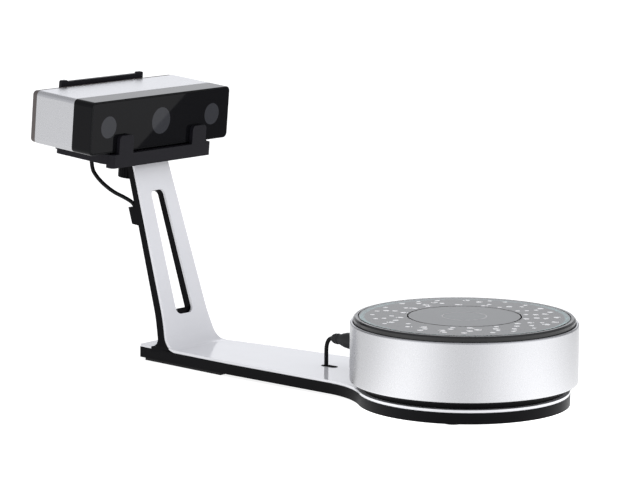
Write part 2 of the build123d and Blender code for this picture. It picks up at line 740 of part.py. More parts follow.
with BuildPart() as drum_shell:
    with BuildSketch(table_plane(DRUM_BOTTOM)):
        Circle(DRUM_R)
        Circle(DRUM_INNER_R, mode=Mode.SUBTRACT)
    extrude(amount=DRUM_TOP - DRUM_BOTTOM)
    rims = drum_shell.edges().filter_by(GeomType.CIRCLE).group_by(SortBy.RADIUS)[-1]
    chamfer(rims, length=DRUM_BEVEL)
    with BuildSketch(plug_plane(TABLE_X - DRUM_R - 1, 1)):
        Circle(SOCKET_R + RUN_FIT)
    extrude(amount=12, mode=Mode.SUBTRACT)
finish(drum_shell, "drum_shell")

# round socket in the drum wall, and the lead's plug in it
PLUG_FACE = TABLE_X - DRUM_R
SOCKET_FLANGE_R = 9.6
PIN_CIRCLE = 3.2
with BuildPart() as drum_socket:
    with BuildSketch(plug_plane(PLUG_FACE + 1.0, 1)):
        Circle(SOCKET_R)
        Circle(PLUG_R - 1.4, mode=Mode.SUBTRACT)
    extrude(amount=SOCKET_DEPTH - 2)
    with BuildSketch(plug_plane(PLUG_FACE + SOCKET_DEPTH - 1, 1)):
        Circle(SOCKET_R)
    extrude(amount=2)
    with BuildSketch(plug_plane(PLUG_FACE + 4.2, 1)):
        Circle(SOCKET_FLANGE_R)
        Circle(SOCKET_R - 1, mode=Mode.SUBTRACT)
    extrude(amount=1.5)
    with BuildSketch(plug_plane(PLUG_FACE + 4.0, 1)):
        with PolarLocations(PIN_CIRCLE, 4, start_angle=45):
            Circle(0.5)
    extrude(amount=SOCKET_DEPTH - 4)
finish(drum_socket, "drum_socket")

PLUG_BACK = TABLE_X - 134.0
RELIEF_START = TABLE_X - 149.0
RELIEF_END = TABLE_X - 154.0
with BuildPart() as lead_plug:
    with BuildSketch(plug_plane(PLUG_FACE - 0.3, -1)):
        Circle(PLUG_R)
    extrude(amount=PLUG_FACE - 0.3 - PLUG_BACK)
    with BuildSketch(plug_plane(PLUG_BACK, -1)):
        Circle(PLUG_R)
    with BuildSketch(plug_plane(RELIEF_START, -1)):
        Circle(4.3)
    loft()
    with BuildSketch(plug_plane(RELIEF_START, -1)):
        Circle(4.0)
    extrude(amount=RELIEF_START - RELIEF_END)
    with BuildSketch(plug_plane(PLUG_FACE - 0.3, 1)):
        Circle(PLUG_R - 1.6)
        Circle(PLUG_R - 2.4, mode=Mode.SUBTRACT)
    extrude(amount=9)
finish(lead_plug, "lead_plug")

SPINDLE_TOP = 78.2
SPINDLE_BEVEL = 0.6
GROOVE_Z = 76.6          # groove for the retaining clip
GROOVE_DEEP = 1.0
RETAINER_THICK = 1.0
RETAINER_RIM = 1.6
with BuildPart() as spindle:
    with BuildSketch(table_plane(DRUM_BOTTOM - FLOOR_DROP)):
        Circle(SPINDLE_R)
    extrude(amount=SPINDLE_TOP - DRUM_BOTTOM + FLOOR_DROP)
    chamfer(spindle.faces().sort_by(Axis.Z)[-1].edges(), length=SPINDLE_BEVEL)
    with BuildSketch(table_plane(GROOVE_Z)):
        Circle(SPINDLE_R)
        Circle(SPINDLE_R - GROOVE_DEEP, mode=Mode.SUBTRACT)
    extrude(amount=RETAINER_THICK + 2 * RUN_FIT, mode=Mode.SUBTRACT)
finish(spindle, "spindle")

BALL_Z = PILLAR_TOP + RACE_THICK + BALL_R
UPPER_RACE_Z = BALL_Z + BALL_R
BOSS_Z = UPPER_RACE_Z + RACE_THICK
for name, height, bore in (
    ("lower_race", PILLAR_TOP, SPINDLE_R + RUN_FIT),
    ("upper_race", UPPER_RACE_Z, SPINDLE_R + RUN_GAP),
):
    with BuildPart() as race:
        with BuildSketch(table_plane(height)):
            Circle(RACE_R)
            Circle(bore, mode=Mode.SUBTRACT)
        extrude(amount=RACE_THICK)
        chamfer(race.edges().filter_by(GeomType.CIRCLE).group_by(SortBy.RADIUS)[-1], length=RACE_BEVEL)
    finish(race, name)

with BuildPart() as ball_cage:
    with BuildSketch(table_plane(BALL_Z - CAGE_THICK / 2)):
        Circle(BALL_CIRCLE + CAGE_HALF_W)
        Circle(BALL_CIRCLE - CAGE_HALF_W, mode=Mode.SUBTRACT)
        with PolarLocations(BALL_CIRCLE, BALL_COUNT):
            Circle(BALL_R + 0.1, mode=Mode.SUBTRACT)
    extrude(amount=CAGE_THICK)
finish(ball_cage, "ball_cage")

with BuildPart() as bearing_balls:
    with Locations(table_plane(BALL_Z)):
        with PolarLocations(BALL_CIRCLE, BALL_COUNT):
            Sphere(BALL_R - 0.03)
finish(bearing_balls, "bearing_balls")

BUSH_R = 8.0
BUSH_TOP = 76.0
GEAR_TOP = PLATTER_WEB
GEAR_SCREW_CIRCLE = 54.0
GEAR_SCREWS = 6
GEAR_BORE = 50.0
GEAR_FLANGE_R = 58.0
GEAR_FLANGE = 2.0
SKIRT_THICK = 3.0
SKIRT_DROP = 2.0
RIM_BEVEL = 1.6
GLASS_GAP = 0.3
with BuildPart() as platter:
    with BuildSketch(Plane((TABLE_X, 0, 0), x_dir=Vector(1, 0, 0), z_dir=Vector(0, -1, 0))):
        with BuildLine():
            Polyline(
                (BUSH_R, BOSS_Z),
                (RACE_R, BOSS_Z),
                (RACE_R, PLATTER_WEB),
                (PLATTER_R - SKIRT_THICK, PLATTER_WEB),
                (PLATTER_R - SKIRT_THICK, PLATTER_WEB - SKIRT_DROP),
                (PLATTER_R, PLATTER_WEB - SKIRT_DROP),
                (PLATTER_R, PLATTER_TOP - RIM_BEVEL),
                (PLATTER_R - RIM_BEVEL, PLATTER_TOP),
                (GLASS_R + GLASS_GAP, PLATTER_TOP),
                (GLASS_R + GLASS_GAP, PLATTER_FLOOR),
                (BUSH_R, PLATTER_FLOOR),
                close=True,
            )
        make_face()
    revolve(axis=Axis((TABLE_X, 0, 0), (0, 0, 1)))
    with BuildSketch(table_plane(PLATTER_WEB)):
        with PolarLocations(GEAR_SCREW_CIRCLE, GEAR_SCREWS):
            Circle(PILOT_R)
    extrude(amount=2.8, mode=Mode.SUBTRACT)
finish(platter, "platter")

with BuildPart() as platter_bush:
    with BuildSketch(table_plane(BOSS_Z)):
        Circle(BUSH_R)
        Circle(SPINDLE_R + RUN_FIT, mode=Mode.SUBTRACT)
    extrude(amount=BUSH_TOP - BOSS_Z)
finish(platter_bush, "platter_bush")

with BuildPart() as retaining_clip:
    with BuildSketch(table_plane(GROOVE_Z + RUN_FIT)):
        Circle(SPINDLE_R + RETAINER_RIM)
        Circle(SPINDLE_R - GROOVE_DEEP + RUN_FIT, mode=Mode.SUBTRACT)
        with Locations((SPINDLE_R, 0)):
            Rectangle(8, 5, mode=Mode.SUBTRACT)
    extrude(amount=RETAINER_THICK)
finish(retaining_clip, "retaining_clip")

with BuildPart() as platter_gear:
    with BuildSketch(table_plane(GEAR_BOTTOM)):
        add(gear_outline(GEAR_TEETH, GEAR_BORE))
    extrude(amount=GEAR_TOP - GEAR_BOTTOM - GEAR_FLANGE)
    with BuildSketch(table_plane(GEAR_TOP - GEAR_FLANGE)):
        Circle(GEAR_FLANGE_R)
        Circle(GEAR_BORE, mode=Mode.SUBTRACT)
    extrude(amount=GEAR_FLANGE)
    with BuildSketch(table_plane(GEAR_BOTTOM)):
        with PolarLocations(GEAR_SCREW_CIRCLE, GEAR_SCREWS):
            Circle(1.5)
    extrude(amount=10, mode=Mode.SUBTRACT)
finish(platter_gear, "platter_gear")

with BuildPart() as gear_screws:
    with BuildSketch(table_plane(GEAR_BOTTOM - 1.4)):
        with PolarLocations(GEAR_SCREW_CIRCLE, GEAR_SCREWS):
            Circle(2.6)
    extrude(amount=1.4)
    with BuildSketch(table_plane(GEAR_BOTTOM)):
        with PolarLocations(GEAR_SCREW_CIRCLE, GEAR_SCREWS):
            Circle(SHANK_R)
    extrude(amount=9)
finish(gear_screws, "gear_screws")

with BuildPart() as marker_disc:
    with BuildSketch(table_plane(PLATTER_FLOOR)):
        Circle(MARKER_R)
    extrude(amount=MARKER_THICK)
finish(marker_disc, "marker_disc")

with BuildPart() as glass_disc:
    with BuildSketch(table_plane(PLATTER_FLOOR + MARKER_THICK)):
        Circle(GLASS_R)
    extrude(amount=GLASS_TOP - PLATTER_FLOOR - MARKER_THICK)
    chamfer(glass_disc.faces().sort_by(Axis.Z)[-1].edges(), length=0.8)
finish(glass_disc, "glass_disc")

# stepper motor beside the pillar, its pinion in mesh with the platter's gear
MESH_DISTANCE = MODULE * (GEAR_TEETH + PINION_TEETH) / 2
MOTOR_X = TABLE_X + MESH_DISTANCE * cos(radians(MOTOR_ANGLE))
MOTOR_Y = MESH_DISTANCE * sin(radians(MOTOR_ANGLE))
MOTOR_Z = 26.0
MOTOR_TOP = MOTOR_Z + MOTOR_HEIGHT
FLOOR_TOP = DRUM_BOTTOM - FLOOR_DROP + FLOOR_THICK
PINION_TOP = 74.0
POST_SPACE = 48.0


def motor_plane(height):
    """Level plane on the motor's axis, square to the line from the spindle."""
    outward = Vector(cos(radians(MOTOR_ANGLE)), sin(radians(MOTOR_ANGLE)), 0)
    return Plane((MOTOR_X, MOTOR_Y, height), x_dir=outward, z_dir=UP)


with BuildPart() as motor_body:
    with BuildSketch(motor_plane(MOTOR_Z)):
        RectangleRounded(MOTOR_SIZE, MOTOR_SIZE, 4)
    extrude(amount=MOTOR_HEIGHT)
    with BuildSketch(motor_plane(MOTOR_TOP)):
        Circle(MOTOR_PILOT_R)
    extrude(amount=PLATE_THICK)
    with BuildSketch(motor_plane(MOTOR_Z)):
        Circle(MOTOR_SHAFT_R + RUN_FIT)
    extrude(amount=MOTOR_HEIGHT + PLATE_THICK, mode=Mode.SUBTRACT)
    with BuildSketch(motor_plane(MOTOR_TOP - MOTOR_BOLT_DEEP)):
        with GridLocations(MOTOR_BOLTS, MOTOR_BOLTS, 2, 2):
            Circle(MOTOR_BOLT_R)
    extrude(amount=MOTOR_BOLT_DEEP, mode=Mode.SUBTRACT)
finish(motor_body, "motor_body")

with BuildPart() as motor_shaft:
    with BuildSketch(motor_plane(MOTOR_Z + 1)):
        Circle(MOTOR_SHAFT_R)
    extrude(amount=PINION_TOP + 0.5 - MOTOR_Z - 1)
finish(motor_shaft, "motor_shaft")

mesh_turn = MOTOR_ANGLE + 180 + 180 / PINION_TEETH
with BuildPart() as drive_pinion:
    with BuildSketch(Plane((MOTOR_X, MOTOR_Y, GEAR_BOTTOM - 0.5))):
        add(gear_outline(PINION_TEETH, MOTOR_SHAFT_R, mesh_turn))
    extrude(amount=PINION_TOP - GEAR_BOTTOM + 0.3)
    with BuildSketch(motor_plane(GEAR_BOTTOM - 5)):
        Circle(5.5)
        Circle(MOTOR_SHAFT_R, mode=Mode.SUBTRACT)
    extrude(amount=4.5)
finish(drive_pinion, "drive_pinion")

with BuildPart() as motor_bracket:
    with BuildSketch(motor_plane(MOTOR_TOP)):
        RectangleRounded(52, 56, 4)
        Circle(MOTOR_PILOT_R + GAP, mode=Mode.SUBTRACT)
        with GridLocations(MOTOR_BOLTS, MOTOR_BOLTS, 2, 2):
            Circle(SHANK_CLEAR_R, mode=Mode.SUBTRACT)
    extrude(amount=PLATE_THICK)
    with BuildSketch(motor_plane(FLOOR_TOP)):
        with GridLocations(30, POST_SPACE, 2, 2):
            Circle(3.0)
    extrude(amount=MOTOR_TOP - FLOOR_TOP)
finish(motor_bracket, "motor_bracket")

with BuildPart() as motor_screws:
    with BuildSketch(motor_plane(MOTOR_TOP - MOTOR_BOLT_DEEP)):
        with GridLocations(MOTOR_BOLTS, MOTOR_BOLTS, 2, 2):
            Circle(MOTOR_BOLT_R)
    extrude(amount=MOTOR_BOLT_DEEP + PLATE_THICK)
    with BuildSketch(motor_plane(MOTOR_TOP + PLATE_THICK)):
        with GridLocations(MOTOR_BOLTS, MOTOR_BOLTS, 2, 2):
            Circle(2.75)
    extrude(amount=1.8)
finish(motor_screws, "motor_screws")

with BuildPart() as table_board:
    with BuildSketch(Plane((TABLE_X - 62, 0, FLOOR_TOP + 4))):
        RectangleRounded(38, 70, 2)
    extrude(amount=BOARD_THICK)
    with BuildSketch(Plane((TABLE_X - 62, 0, FLOOR_TOP + 4 + BOARD_THICK))):
        with Locations((-6, -14)):
            Rectangle(9, 9)
        with Locations((5, 10)):
            Rectangle(12, 7)
        with Locations((-8, 22)):
            Circle(4)
    extrude(amount=2.5)
    with BuildSketch(Plane((TABLE_X - 62, 0, FLOOR_TOP))):
        with GridLocations(30, 62, 2, 2):
            Circle(2.2)
    extrude(amount=4)
finish(table_board, "table_board")

# ---------------------------------------------------------------- lead
with BuildPart() as lead_lower:
    add(lead_tube(lower_path, LEAD_R))
finish(lead_lower, "lead_lower")

with BuildPart() as lead_upper:
    add(lead_tube(upper_path, LEAD_R))
finish(lead_upper, "lead_upper")

# ---------------------------------------------------------------- cradle
PAD_THICK = TRAY_TOP * -1 - HEAD_H / 2
TRAY_FLOOR = 3.5
TRAY_WALL = 3.0
GLAND_R = 5.0
TAB_W = 9.0
TAB_DOWN = 1.0
TAB_CORNER_R = 2.0

# cradle: a tray under the head with a front lip, two hooks and a back plate in one moulding
with BuildPart() as cradle:
    with BuildSketch(head_deck(TRAY_BOTTOM)):
        with Locations((TRAY_REAR / 2, 0)):
            RectangleRounded(-TRAY_REAR, 2 * TRAY_HALF, 8)
    extrude(amount=TRAY_TOP - TRAY_BOTTOM)
    with BuildSketch(head_deck(TRAY_BOTTOM)):
        with Locations((TRAY_REAR / 2, 0)):
            RectangleRounded(-TRAY_REAR - 2 * TRAY_WALL, 2 * TRAY_HALF - 2 * TRAY_WALL, 5)
    extrude(amount=TRAY_TOP - TRAY_BOTTOM - TRAY_FLOOR, mode=Mode.SUBTRACT)
    with BuildSketch(head_deck(TRAY_BOTTOM, SWIVEL_A)):
        Circle(SWIVEL_BOSS_R)
    extrude(amount=TRAY_TOP - TRAY_BOTTOM)
    # front lip with rounded ends, and two hooks that stand up in front of the head
    with BuildSketch(head_deck(LIP_BOTTOM)):
        with Locations((LIP_THICK / 2 - 3.0, 0)):
            RectangleRounded(LIP_THICK + 6.0, 2 * TRAY_HALF - 6, 4)
    extrude(amount=TRAY_TOP - LIP_BOTTOM)
    with BuildSketch(head_deck(LIP_BOTTOM)):
        with Locations((-TRAY_WALL - 20.0, 0)):
            Rectangle(40.0, 2 * TRAY_HALF - 18)
    extrude(amount=TRAY_BOTTOM - LIP_BOTTOM, mode=Mode.SUBTRACT)
    hook_mid = (HOOK_INNER + HOOK_OUTER) / 2
    hook_height = HOOK_TOP - TRAY_TOP + 8.0
    for side in (-hook_mid, hook_mid):
        with BuildSketch(head_face(0.4, side, HOOK_TOP - hook_height / 2)) as hook:
            Rectangle(HOOK_OUTER - HOOK_INNER, hook_height)
            fillet(hook.vertices().group_by(Axis.Y)[-1], radius=4.0)
        extrude(amount=LIP_THICK - 0.4)
    with BuildSketch(head_deck(TRAY_BOTTOM, SWIVEL_A)):
        Circle(SCREW_R + SCREW_CLEAR)
    extrude(amount=TRAY_TOP - TRAY_BOTTOM, mode=Mode.SUBTRACT)
    with BuildSketch(head_deck(TRAY_BOTTOM, GLAND_A, GLAND_B)):
        Circle(GLAND_R + 1.0)
    extrude(amount=TRAY_TOP - TRAY_BOTTOM, mode=Mode.SUBTRACT)
    with BuildSketch(head_face(BACK_FRONT - BACK_THICK)):
        with Locations((0, (BACK_TOP + TRAY_BOTTOM) / 2)):
            Rectangle(2 * BACK_HALF, BACK_TOP - TRAY_BOTTOM)
        for side in (-BACK_HALF + TAB_W / 2, BACK_HALF - TAB_W / 2):
            with Locations((side, BACK_TOP - TAB_DOWN)):
                RectangleRounded(TAB_W, 2 * (BACK_TAB_TOP - BACK_TOP + TAB_DOWN), TAB_CORNER_R)
    extrude(amount=BACK_THICK)
    with BuildSketch(head_deck(TRAY_TOP - TRAY_FLOOR)):
        with Locations(((TRAY_REAR + TRAY_WALL + BACK_FRONT) / 2, 0)):
            Rectangle(TRAY_REAR + TRAY_WALL - BACK_FRONT + 1, 2 * BACK_HALF)
    extrude(amount=TRAY_FLOOR)
finish(cradle, "cradle")

PAD_SIDE = 56.0
PAD_DEEP = 50.0
PAD_WIDE = 20.0
PAD_CORNER_R = 4.0
with BuildPart() as cradle_pads:
    with BuildSketch(head_deck(TRAY_TOP)):
        with Locations((TRAY_REAR / 2, PAD_SIDE), (TRAY_REAR / 2, -PAD_SIDE)):
            RectangleRounded(PAD_DEEP, PAD_WIDE, PAD_CORNER_R)
    extrude(amount=PAD_THICK)
finish(cradle_pads, "cradle_pads")

with BuildPart() as swivel_washer:
    with BuildSketch(head_deck(TRAY_BOTTOM - WASHER_THICK, SWIVEL_A)):
        Circle(WASHER_R)
        Circle(SCREW_R + SCREW_CLEAR, mode=Mode.SUBTRACT)
    extrude(amount=WASHER_THICK - RUN_FIT)
finish(swivel_washer, "swivel_washer")

SCREW_TOP = -18.5
with BuildPart() as thumb_screw:
    with BuildSketch(head_deck(KNOB_BOTTOM, SWIVEL_A)):
        Circle(KNOB_R)
        with PolarLocations(KNOB_R + FLUTE_OUT, FLUTES):
            Circle(FLUTE_R, mode=Mode.SUBTRACT)
    extrude(amount=KNOB_TOP - KNOB_BOTTOM)
    with BuildSketch(head_deck(KNOB_TOP, SWIVEL_A)):
        Circle(KNOB_COLLAR_R)
    extrude(amount=TRAY_BOTTOM - WASHER_THICK - FLANGE_THICK - 0.1 - KNOB_TOP)
    with BuildSketch(head_deck(KNOB_TOP, SWIVEL_A)):
        Circle(SCREW_R)
    extrude(amount=SCREW_TOP - KNOB_TOP)
finish(thumb_screw, "thumb_screw")

# ---------------------------------------------------------------- scanning head
INNER_W = HEAD_W - 2 * SHELL_WALL
INNER_H = HEAD_H - 2 * SHELL_WALL
WINDOW_HALF_W = HEAD_W / 2 - 1.8
WINDOW_HALF_H = HEAD_H / 2 - 1.8
WINDOW_CORNER_R = 3.6
WINDOW_THICK = 2.0
WINDOW_LEDGE = 4.0
BEZEL_FRONT_WALL = 7.0
REAR_INSET = 0.6         # the rear cover stands this far inside the shell's outline
REAR_LIP = 1.5           # how far the shell's rear rim stands inside its wall
REAR_WALL = 8.0
VENT_PITCH = 4.0

with BuildPart() as head_shell:
    with BuildSketch(head_face(SHELL_END)):
        RectangleRounded(HEAD_W, HEAD_H, HEAD_EDGE_R)
    extrude(amount=-BEZEL_DEPTH - SHELL_END - 0.15)
    rear_edges = head_shell.faces().sort_by(Axis(HEAD_ORIGIN, HEAD_FORWARD))[0].edges()
    fillet(rear_edges, radius=REAR_INSET - 0.1)
    with BuildSketch(head_face(SHELL_END)):
        RectangleRounded(INNER_W - 2 * REAR_LIP, INNER_H - 2 * REAR_LIP, 3)
    extrude(amount=6, mode=Mode.SUBTRACT)
    with BuildSketch(head_face(SHELL_END + 4.5)):
        RectangleRounded(INNER_W, INNER_H, HEAD_EDGE_R - 2)
    extrude(amount=-SHELL_END, mode=Mode.SUBTRACT)
    with BuildSketch(head_deck(-HEAD_H / 2, SWIVEL_A)):
        Circle(6.0)
    extrude(amount=SHELL_WALL, mode=Mode.SUBTRACT)
    with BuildSketch(head_deck(-HEAD_H / 2, GLAND_A, GLAND_B)):
        Circle(3.5 + RUN_FIT)
    extrude(amount=SHELL_WALL, mode=Mode.SUBTRACT)
finish(head_shell, "head_shell")

with BuildPart() as front_bezel:
    with BuildSketch(head_face(-BEZEL_DEPTH)):
        RectangleRounded(HEAD_W, HEAD_H, HEAD_EDGE_R)
    extrude(amount=BEZEL_DEPTH)
    bezel_front = front_bezel.faces().sort_by(Axis(HEAD_ORIGIN, HEAD_FORWARD))[-1]
    fillet(bezel_front.edges(), radius=BEZEL_EDGE_R)
    with BuildSketch(head_face(-BEZEL_DEPTH)):
        RectangleRounded(INNER_W, INNER_H, HEAD_EDGE_R - 2)
    extrude(amount=BEZEL_DEPTH - BEZEL_FRONT_WALL, mode=Mode.SUBTRACT)
    with BuildSketch(head_face(-BEZEL_DEPTH)):
        RectangleRounded(2 * WINDOW_HALF_W - 2 * WINDOW_LEDGE, 2 * WINDOW_HALF_H - 2 * WINDOW_LEDGE, 3)
    extrude(amount=BEZEL_DEPTH, mode=Mode.SUBTRACT)
    with BuildSketch(head_face(-WINDOW_THICK)):
        RectangleRounded(2 * WINDOW_HALF_W, 2 * WINDOW_HALF_H, WINDOW_CORNER_R)
    extrude(amount=WINDOW_THICK, mode=Mode.SUBTRACT)
finish(front_bezel, "front_bezel")

LENS_SPOTS = ((-LENS_SPREAD, CAMERA_WINDOW_R), (0, PROJECTOR_WINDOW_R), (LENS_SPREAD, CAMERA_WINDOW_R))
with BuildPart() as front_window:
    with BuildSketch(head_face(-WINDOW_THICK)):
        RectangleRounded(2 * WINDOW_HALF_W - GAP, 2 * WINDOW_HALF_H - GAP, WINDOW_CORNER_R - GAP / 2)
        for side, radius in LENS_SPOTS:
            with Locations((side, 0)):
                Circle(radius + 0.05, mode=Mode.SUBTRACT)
    extrude(amount=WINDOW_THICK - 0.1)
finish(front_window, "front_window")

with BuildPart() as lens_windows:
    with BuildSketch(head_face(-WINDOW_THICK)):
        for side, radius in LENS_SPOTS:
            with Locations((side, 0)):
                Circle(radius)
    extrude(amount=WINDOW_THICK - 0.2)
finish(lens_windows, "lens_windows")

REAR_W = HEAD_W - 2 * REAR_INSET
REAR_H = HEAD_H - 2 * REAR_INSET
VENT_LONG = 24.0
VENT_WIDE = 1.8
VENT_COUNT = 7
PORT_DROP = -8.0
PORT_HIGH = 11.0
DATA_SIDE = PORT_SIDE - 7.0
POWER_SIDE = PORT_SIDE + 8.0
DATA_WIDE = 12.0
POWER_WIDE = 9.4
BUTTON_UP = 8.0
BUTTON_R = 4.8
PORT_GAP = 0.4           # play round each socket in its window
with BuildPart() as rear_cover:
    with BuildSketch(head_face(REAR_END)):
        RectangleRounded(REAR_W, REAR_H, HEAD_EDGE_R - REAR_INSET)
    extrude(amount=SHELL_END - REAR_END)
    back_edges = rear_cover.faces().sort_by(Axis(HEAD_ORIGIN, HEAD_FORWARD))[0].edges()
    fillet(back_edges, radius=2.0)
    with BuildSketch(head_face(REAR_END + SHELL_WALL)):
        RectangleRounded(HEAD_W - 2 * REAR_WALL, HEAD_H - 2 * REAR_WALL, 2)
    extrude(amount=10, mode=Mode.SUBTRACT)
    with BuildSketch(head_face(SHELL_END)):
        RectangleRounded(INNER_W - 2 * REAR_LIP - 2 * GAP, INNER_H - 2 * REAR_LIP - 2 * GAP, 3)
        RectangleRounded(HEAD_W - 2 * REAR_WALL, HEAD_H - 2 * REAR_WALL, 2, mode=Mode.SUBTRACT)
    extrude(amount=4)
    with BuildSketch(head_face(REAR_END)):
        with Locations((FAN_SIDE, 0)):
            with GridLocations(1, VENT_PITCH, 1, VENT_COUNT):
                SlotOverall(VENT_LONG, VENT_WIDE)
        with Locations((DATA_SIDE, PORT_DROP)):
            Rectangle(DATA_WIDE, PORT_HIGH)
        with Locations((POWER_SIDE, PORT_DROP)):
            Rectangle(POWER_WIDE, PORT_HIGH)
        with Locations((PORT_SIDE, BUTTON_UP)):
            Circle(BUTTON_R + RUN_GAP)
    extrude(amount=SHELL_WALL, mode=Mode.SUBTRACT)
finish(rear_cover, "rear_cover")

BENCH_A = -46.0
BENCH_THICK = 4.0
BENCH_HALF_W = 92.0
BENCH_HALF_H = 21.5
with BuildPart() as optical_bench:
    with BuildSketch(head_face(BENCH_A)):
        RectangleRounded(2 * BENCH_HALF_W, 2 * BENCH_HALF_H, 3)
        Rectangle(46, 36, mode=Mode.SUBTRACT)
        with Locations((-LENS_SPREAD, 0), (LENS_SPREAD, 0)):
            Circle(8, mode=Mode.SUBTRACT)
        with Locations((-37, 0), (37, 0)):
            RectangleRounded(14, 26, 4, mode=Mode.SUBTRACT)
    extrude(amount=BENCH_THICK)
finish(optical_bench, "optical_bench")

# two cameras on the bench, one each side of the projector
CAMERA_BACK = BENCH_A + BENCH_THICK
CAMERA_FRONT = -6.0
SENSOR_BOX = 30.0
SENSOR_DEEP = 12.0
BARREL_R = 12.0
BARREL_DEEP = 12.0
NOSE_R = 10.5
CAMERA_LENS_R = 8.0
LENS_SEAT = 6.0
with BuildPart() as cameras:
    with BuildSketch(head_face(CAMERA_BACK)):
        with GridLocations(2 * LENS_SPREAD, 1, 2, 1):
            RectangleRounded(SENSOR_BOX, SENSOR_BOX, 2)
    extrude(amount=SENSOR_DEEP)
    with BuildSketch(head_face(CAMERA_BACK + SENSOR_DEEP)):
        with GridLocations(2 * LENS_SPREAD, 1, 2, 1):
            Circle(BARREL_R)
    extrude(amount=BARREL_DEEP)
    with BuildSketch(head_face(CAMERA_BACK + SENSOR_DEEP + BARREL_DEEP)):
        with GridLocations(2 * LENS_SPREAD, 1, 2, 1):
            Circle(NOSE_R)
    extrude(amount=CAMERA_FRONT - CAMERA_BACK - SENSOR_DEEP - BARREL_DEEP)
    with BuildSketch(head_face(CAMERA_FRONT - LENS_SEAT)):
        with GridLocations(2 * LENS_SPREAD, 1, 2, 1):
            Circle(CAMERA_LENS_R)
    extrude(amount=LENS_SEAT, mode=Mode.SUBTRACT)
finish(cameras, "cameras")

LENS_THICK = 4.5
LENS_CURVE = 3.5
PROJECTOR_LENS_R = 9.5
PROJECTOR_LENS_FRONT = -6.0
with BuildPart() as camera_lenses:
    with BuildSketch(head_face(CAMERA_FRONT - LENS_SEAT)):
        with GridLocations(2 * LENS_SPREAD, 1, 2, 1):
            Circle(CAMERA_LENS_R)
    extrude(amount=LENS_THICK)
    lens_fronts = camera_lenses.faces().sort_by(Axis(HEAD_ORIGIN, HEAD_FORWARD))[-2:]
    fillet(lens_fronts.edges(), radius=LENS_CURVE)
finish(camera_lenses, "camera_lenses")

with BuildPart() as projector_lens:
    with BuildSketch(head_face(PROJECTOR_LENS_FRONT - LENS_THICK)):
        Circle(PROJECTOR_LENS_R)
    extrude(amount=LENS_THICK)
    lens_front = projector_lens.faces().sort_by(Axis(HEAD_ORIGIN, HEAD_FORWARD))[-1]
    fillet(lens_front.edges(), radius=LENS_CURVE)
finish(projector_lens, "projector_lens")

PROJECTOR_W = 44.0
PROJECTOR_H = 34.0
PROJECTOR_BACK = -50.0
PROJECTOR_STEP = -20.0
PROJECTOR_NOSE = -10.0
PROJECTOR_FRONT = -4.0
PROJECTOR_SEAT = 10.0
PROJECTOR_BARREL_R = 15.0
PROJECTOR_NOSE_R = 12.5
with BuildPart() as projector_body:
    with BuildSketch(head_face(PROJECTOR_BACK)):
        RectangleRounded(PROJECTOR_W, PROJECTOR_H, 2)
    extrude(amount=PROJECTOR_STEP - PROJECTOR_BACK)
    with BuildSketch(head_face(PROJECTOR_STEP)):
        Circle(PROJECTOR_BARREL_R)
    extrude(amount=PROJECTOR_NOSE - PROJECTOR_STEP)
    with BuildSketch(head_face(PROJECTOR_NOSE)):
        Circle(PROJECTOR_NOSE_R)
    extrude(amount=PROJECTOR_FRONT - PROJECTOR_NOSE)
    with BuildSketch(head_face(PROJECTOR_FRONT - PROJECTOR_SEAT)):
        Circle(PROJECTOR_LENS_R)
    extrude(amount=PROJECTOR_SEAT, mode=Mode.SUBTRACT)
finish(projector_body, "projector_body")

FIN_COUNT = 9
FIN_PITCH = 4.8
FIN_THICK = 1.4
FIN_DEEP = 9.0
SINK_A = -53.0
SINK_W = 40.0
SINK_H = 32.0
SINK_BASE = 3.0
with BuildPart() as heat_sink:
    with BuildSketch(head_face(SINK_A)):
        Rectangle(SINK_W, SINK_H)
    extrude(amount=SINK_BASE)
    with BuildSketch(head_face(SINK_A - FIN_DEEP)):
        with GridLocations(FIN_PITCH, 1, FIN_COUNT, 1):
            Rectangle(FIN_THICK, SINK_H)
    extrude(amount=FIN_DEEP)
finish(heat_sink, "heat_sink")

BOARD_A = -67.0
CHIP_HEIGHT = 2.2
with BuildPart() as main_board:
    with BuildSketch(head_face(BOARD_A)):
        RectangleRounded(112, 38, 2)
    extrude(amount=BOARD_THICK)
    with BuildSketch(head_face(BOARD_A + BOARD_THICK)):
        with Locations((-42, 6)):
            Rectangle(15, 15)
        with Locations((42, -5)):
            Rectangle(12, 12)
        with Locations((40, 11)):
            Rectangle(18, 6)
    extrude(amount=CHIP_HEIGHT)
finish(main_board, "main_board")

FAN_BACK = -77.5
FAN_THICK = 8.0
with BuildPart() as fan_frame:
    with BuildSketch(head_face(FAN_BACK, FAN_SIDE)):
        RectangleRounded(FAN_SIZE, FAN_SIZE, 2)
        Circle(FAN_SIZE / 2 - 1.2, mode=Mode.SUBTRACT)
        with GridLocations(24, 24, 2, 2):
            Circle(1.3, mode=Mode.SUBTRACT)
    extrude(amount=FAN_THICK)
    with BuildSketch(head_face(FAN_BACK + FAN_THICK - 1.2, FAN_SIDE)):
        Circle(6.0)
        Rectangle(FAN_SIZE - 1, 2)
        Rectangle(2, FAN_SIZE - 1)
    extrude(amount=1.2)
    with BuildSketch(head_face(FAN_BACK + 2, FAN_SIDE)):
        Circle(1.0)
    extrude(amount=FAN_THICK - 2)
finish(fan_frame, "fan_frame")

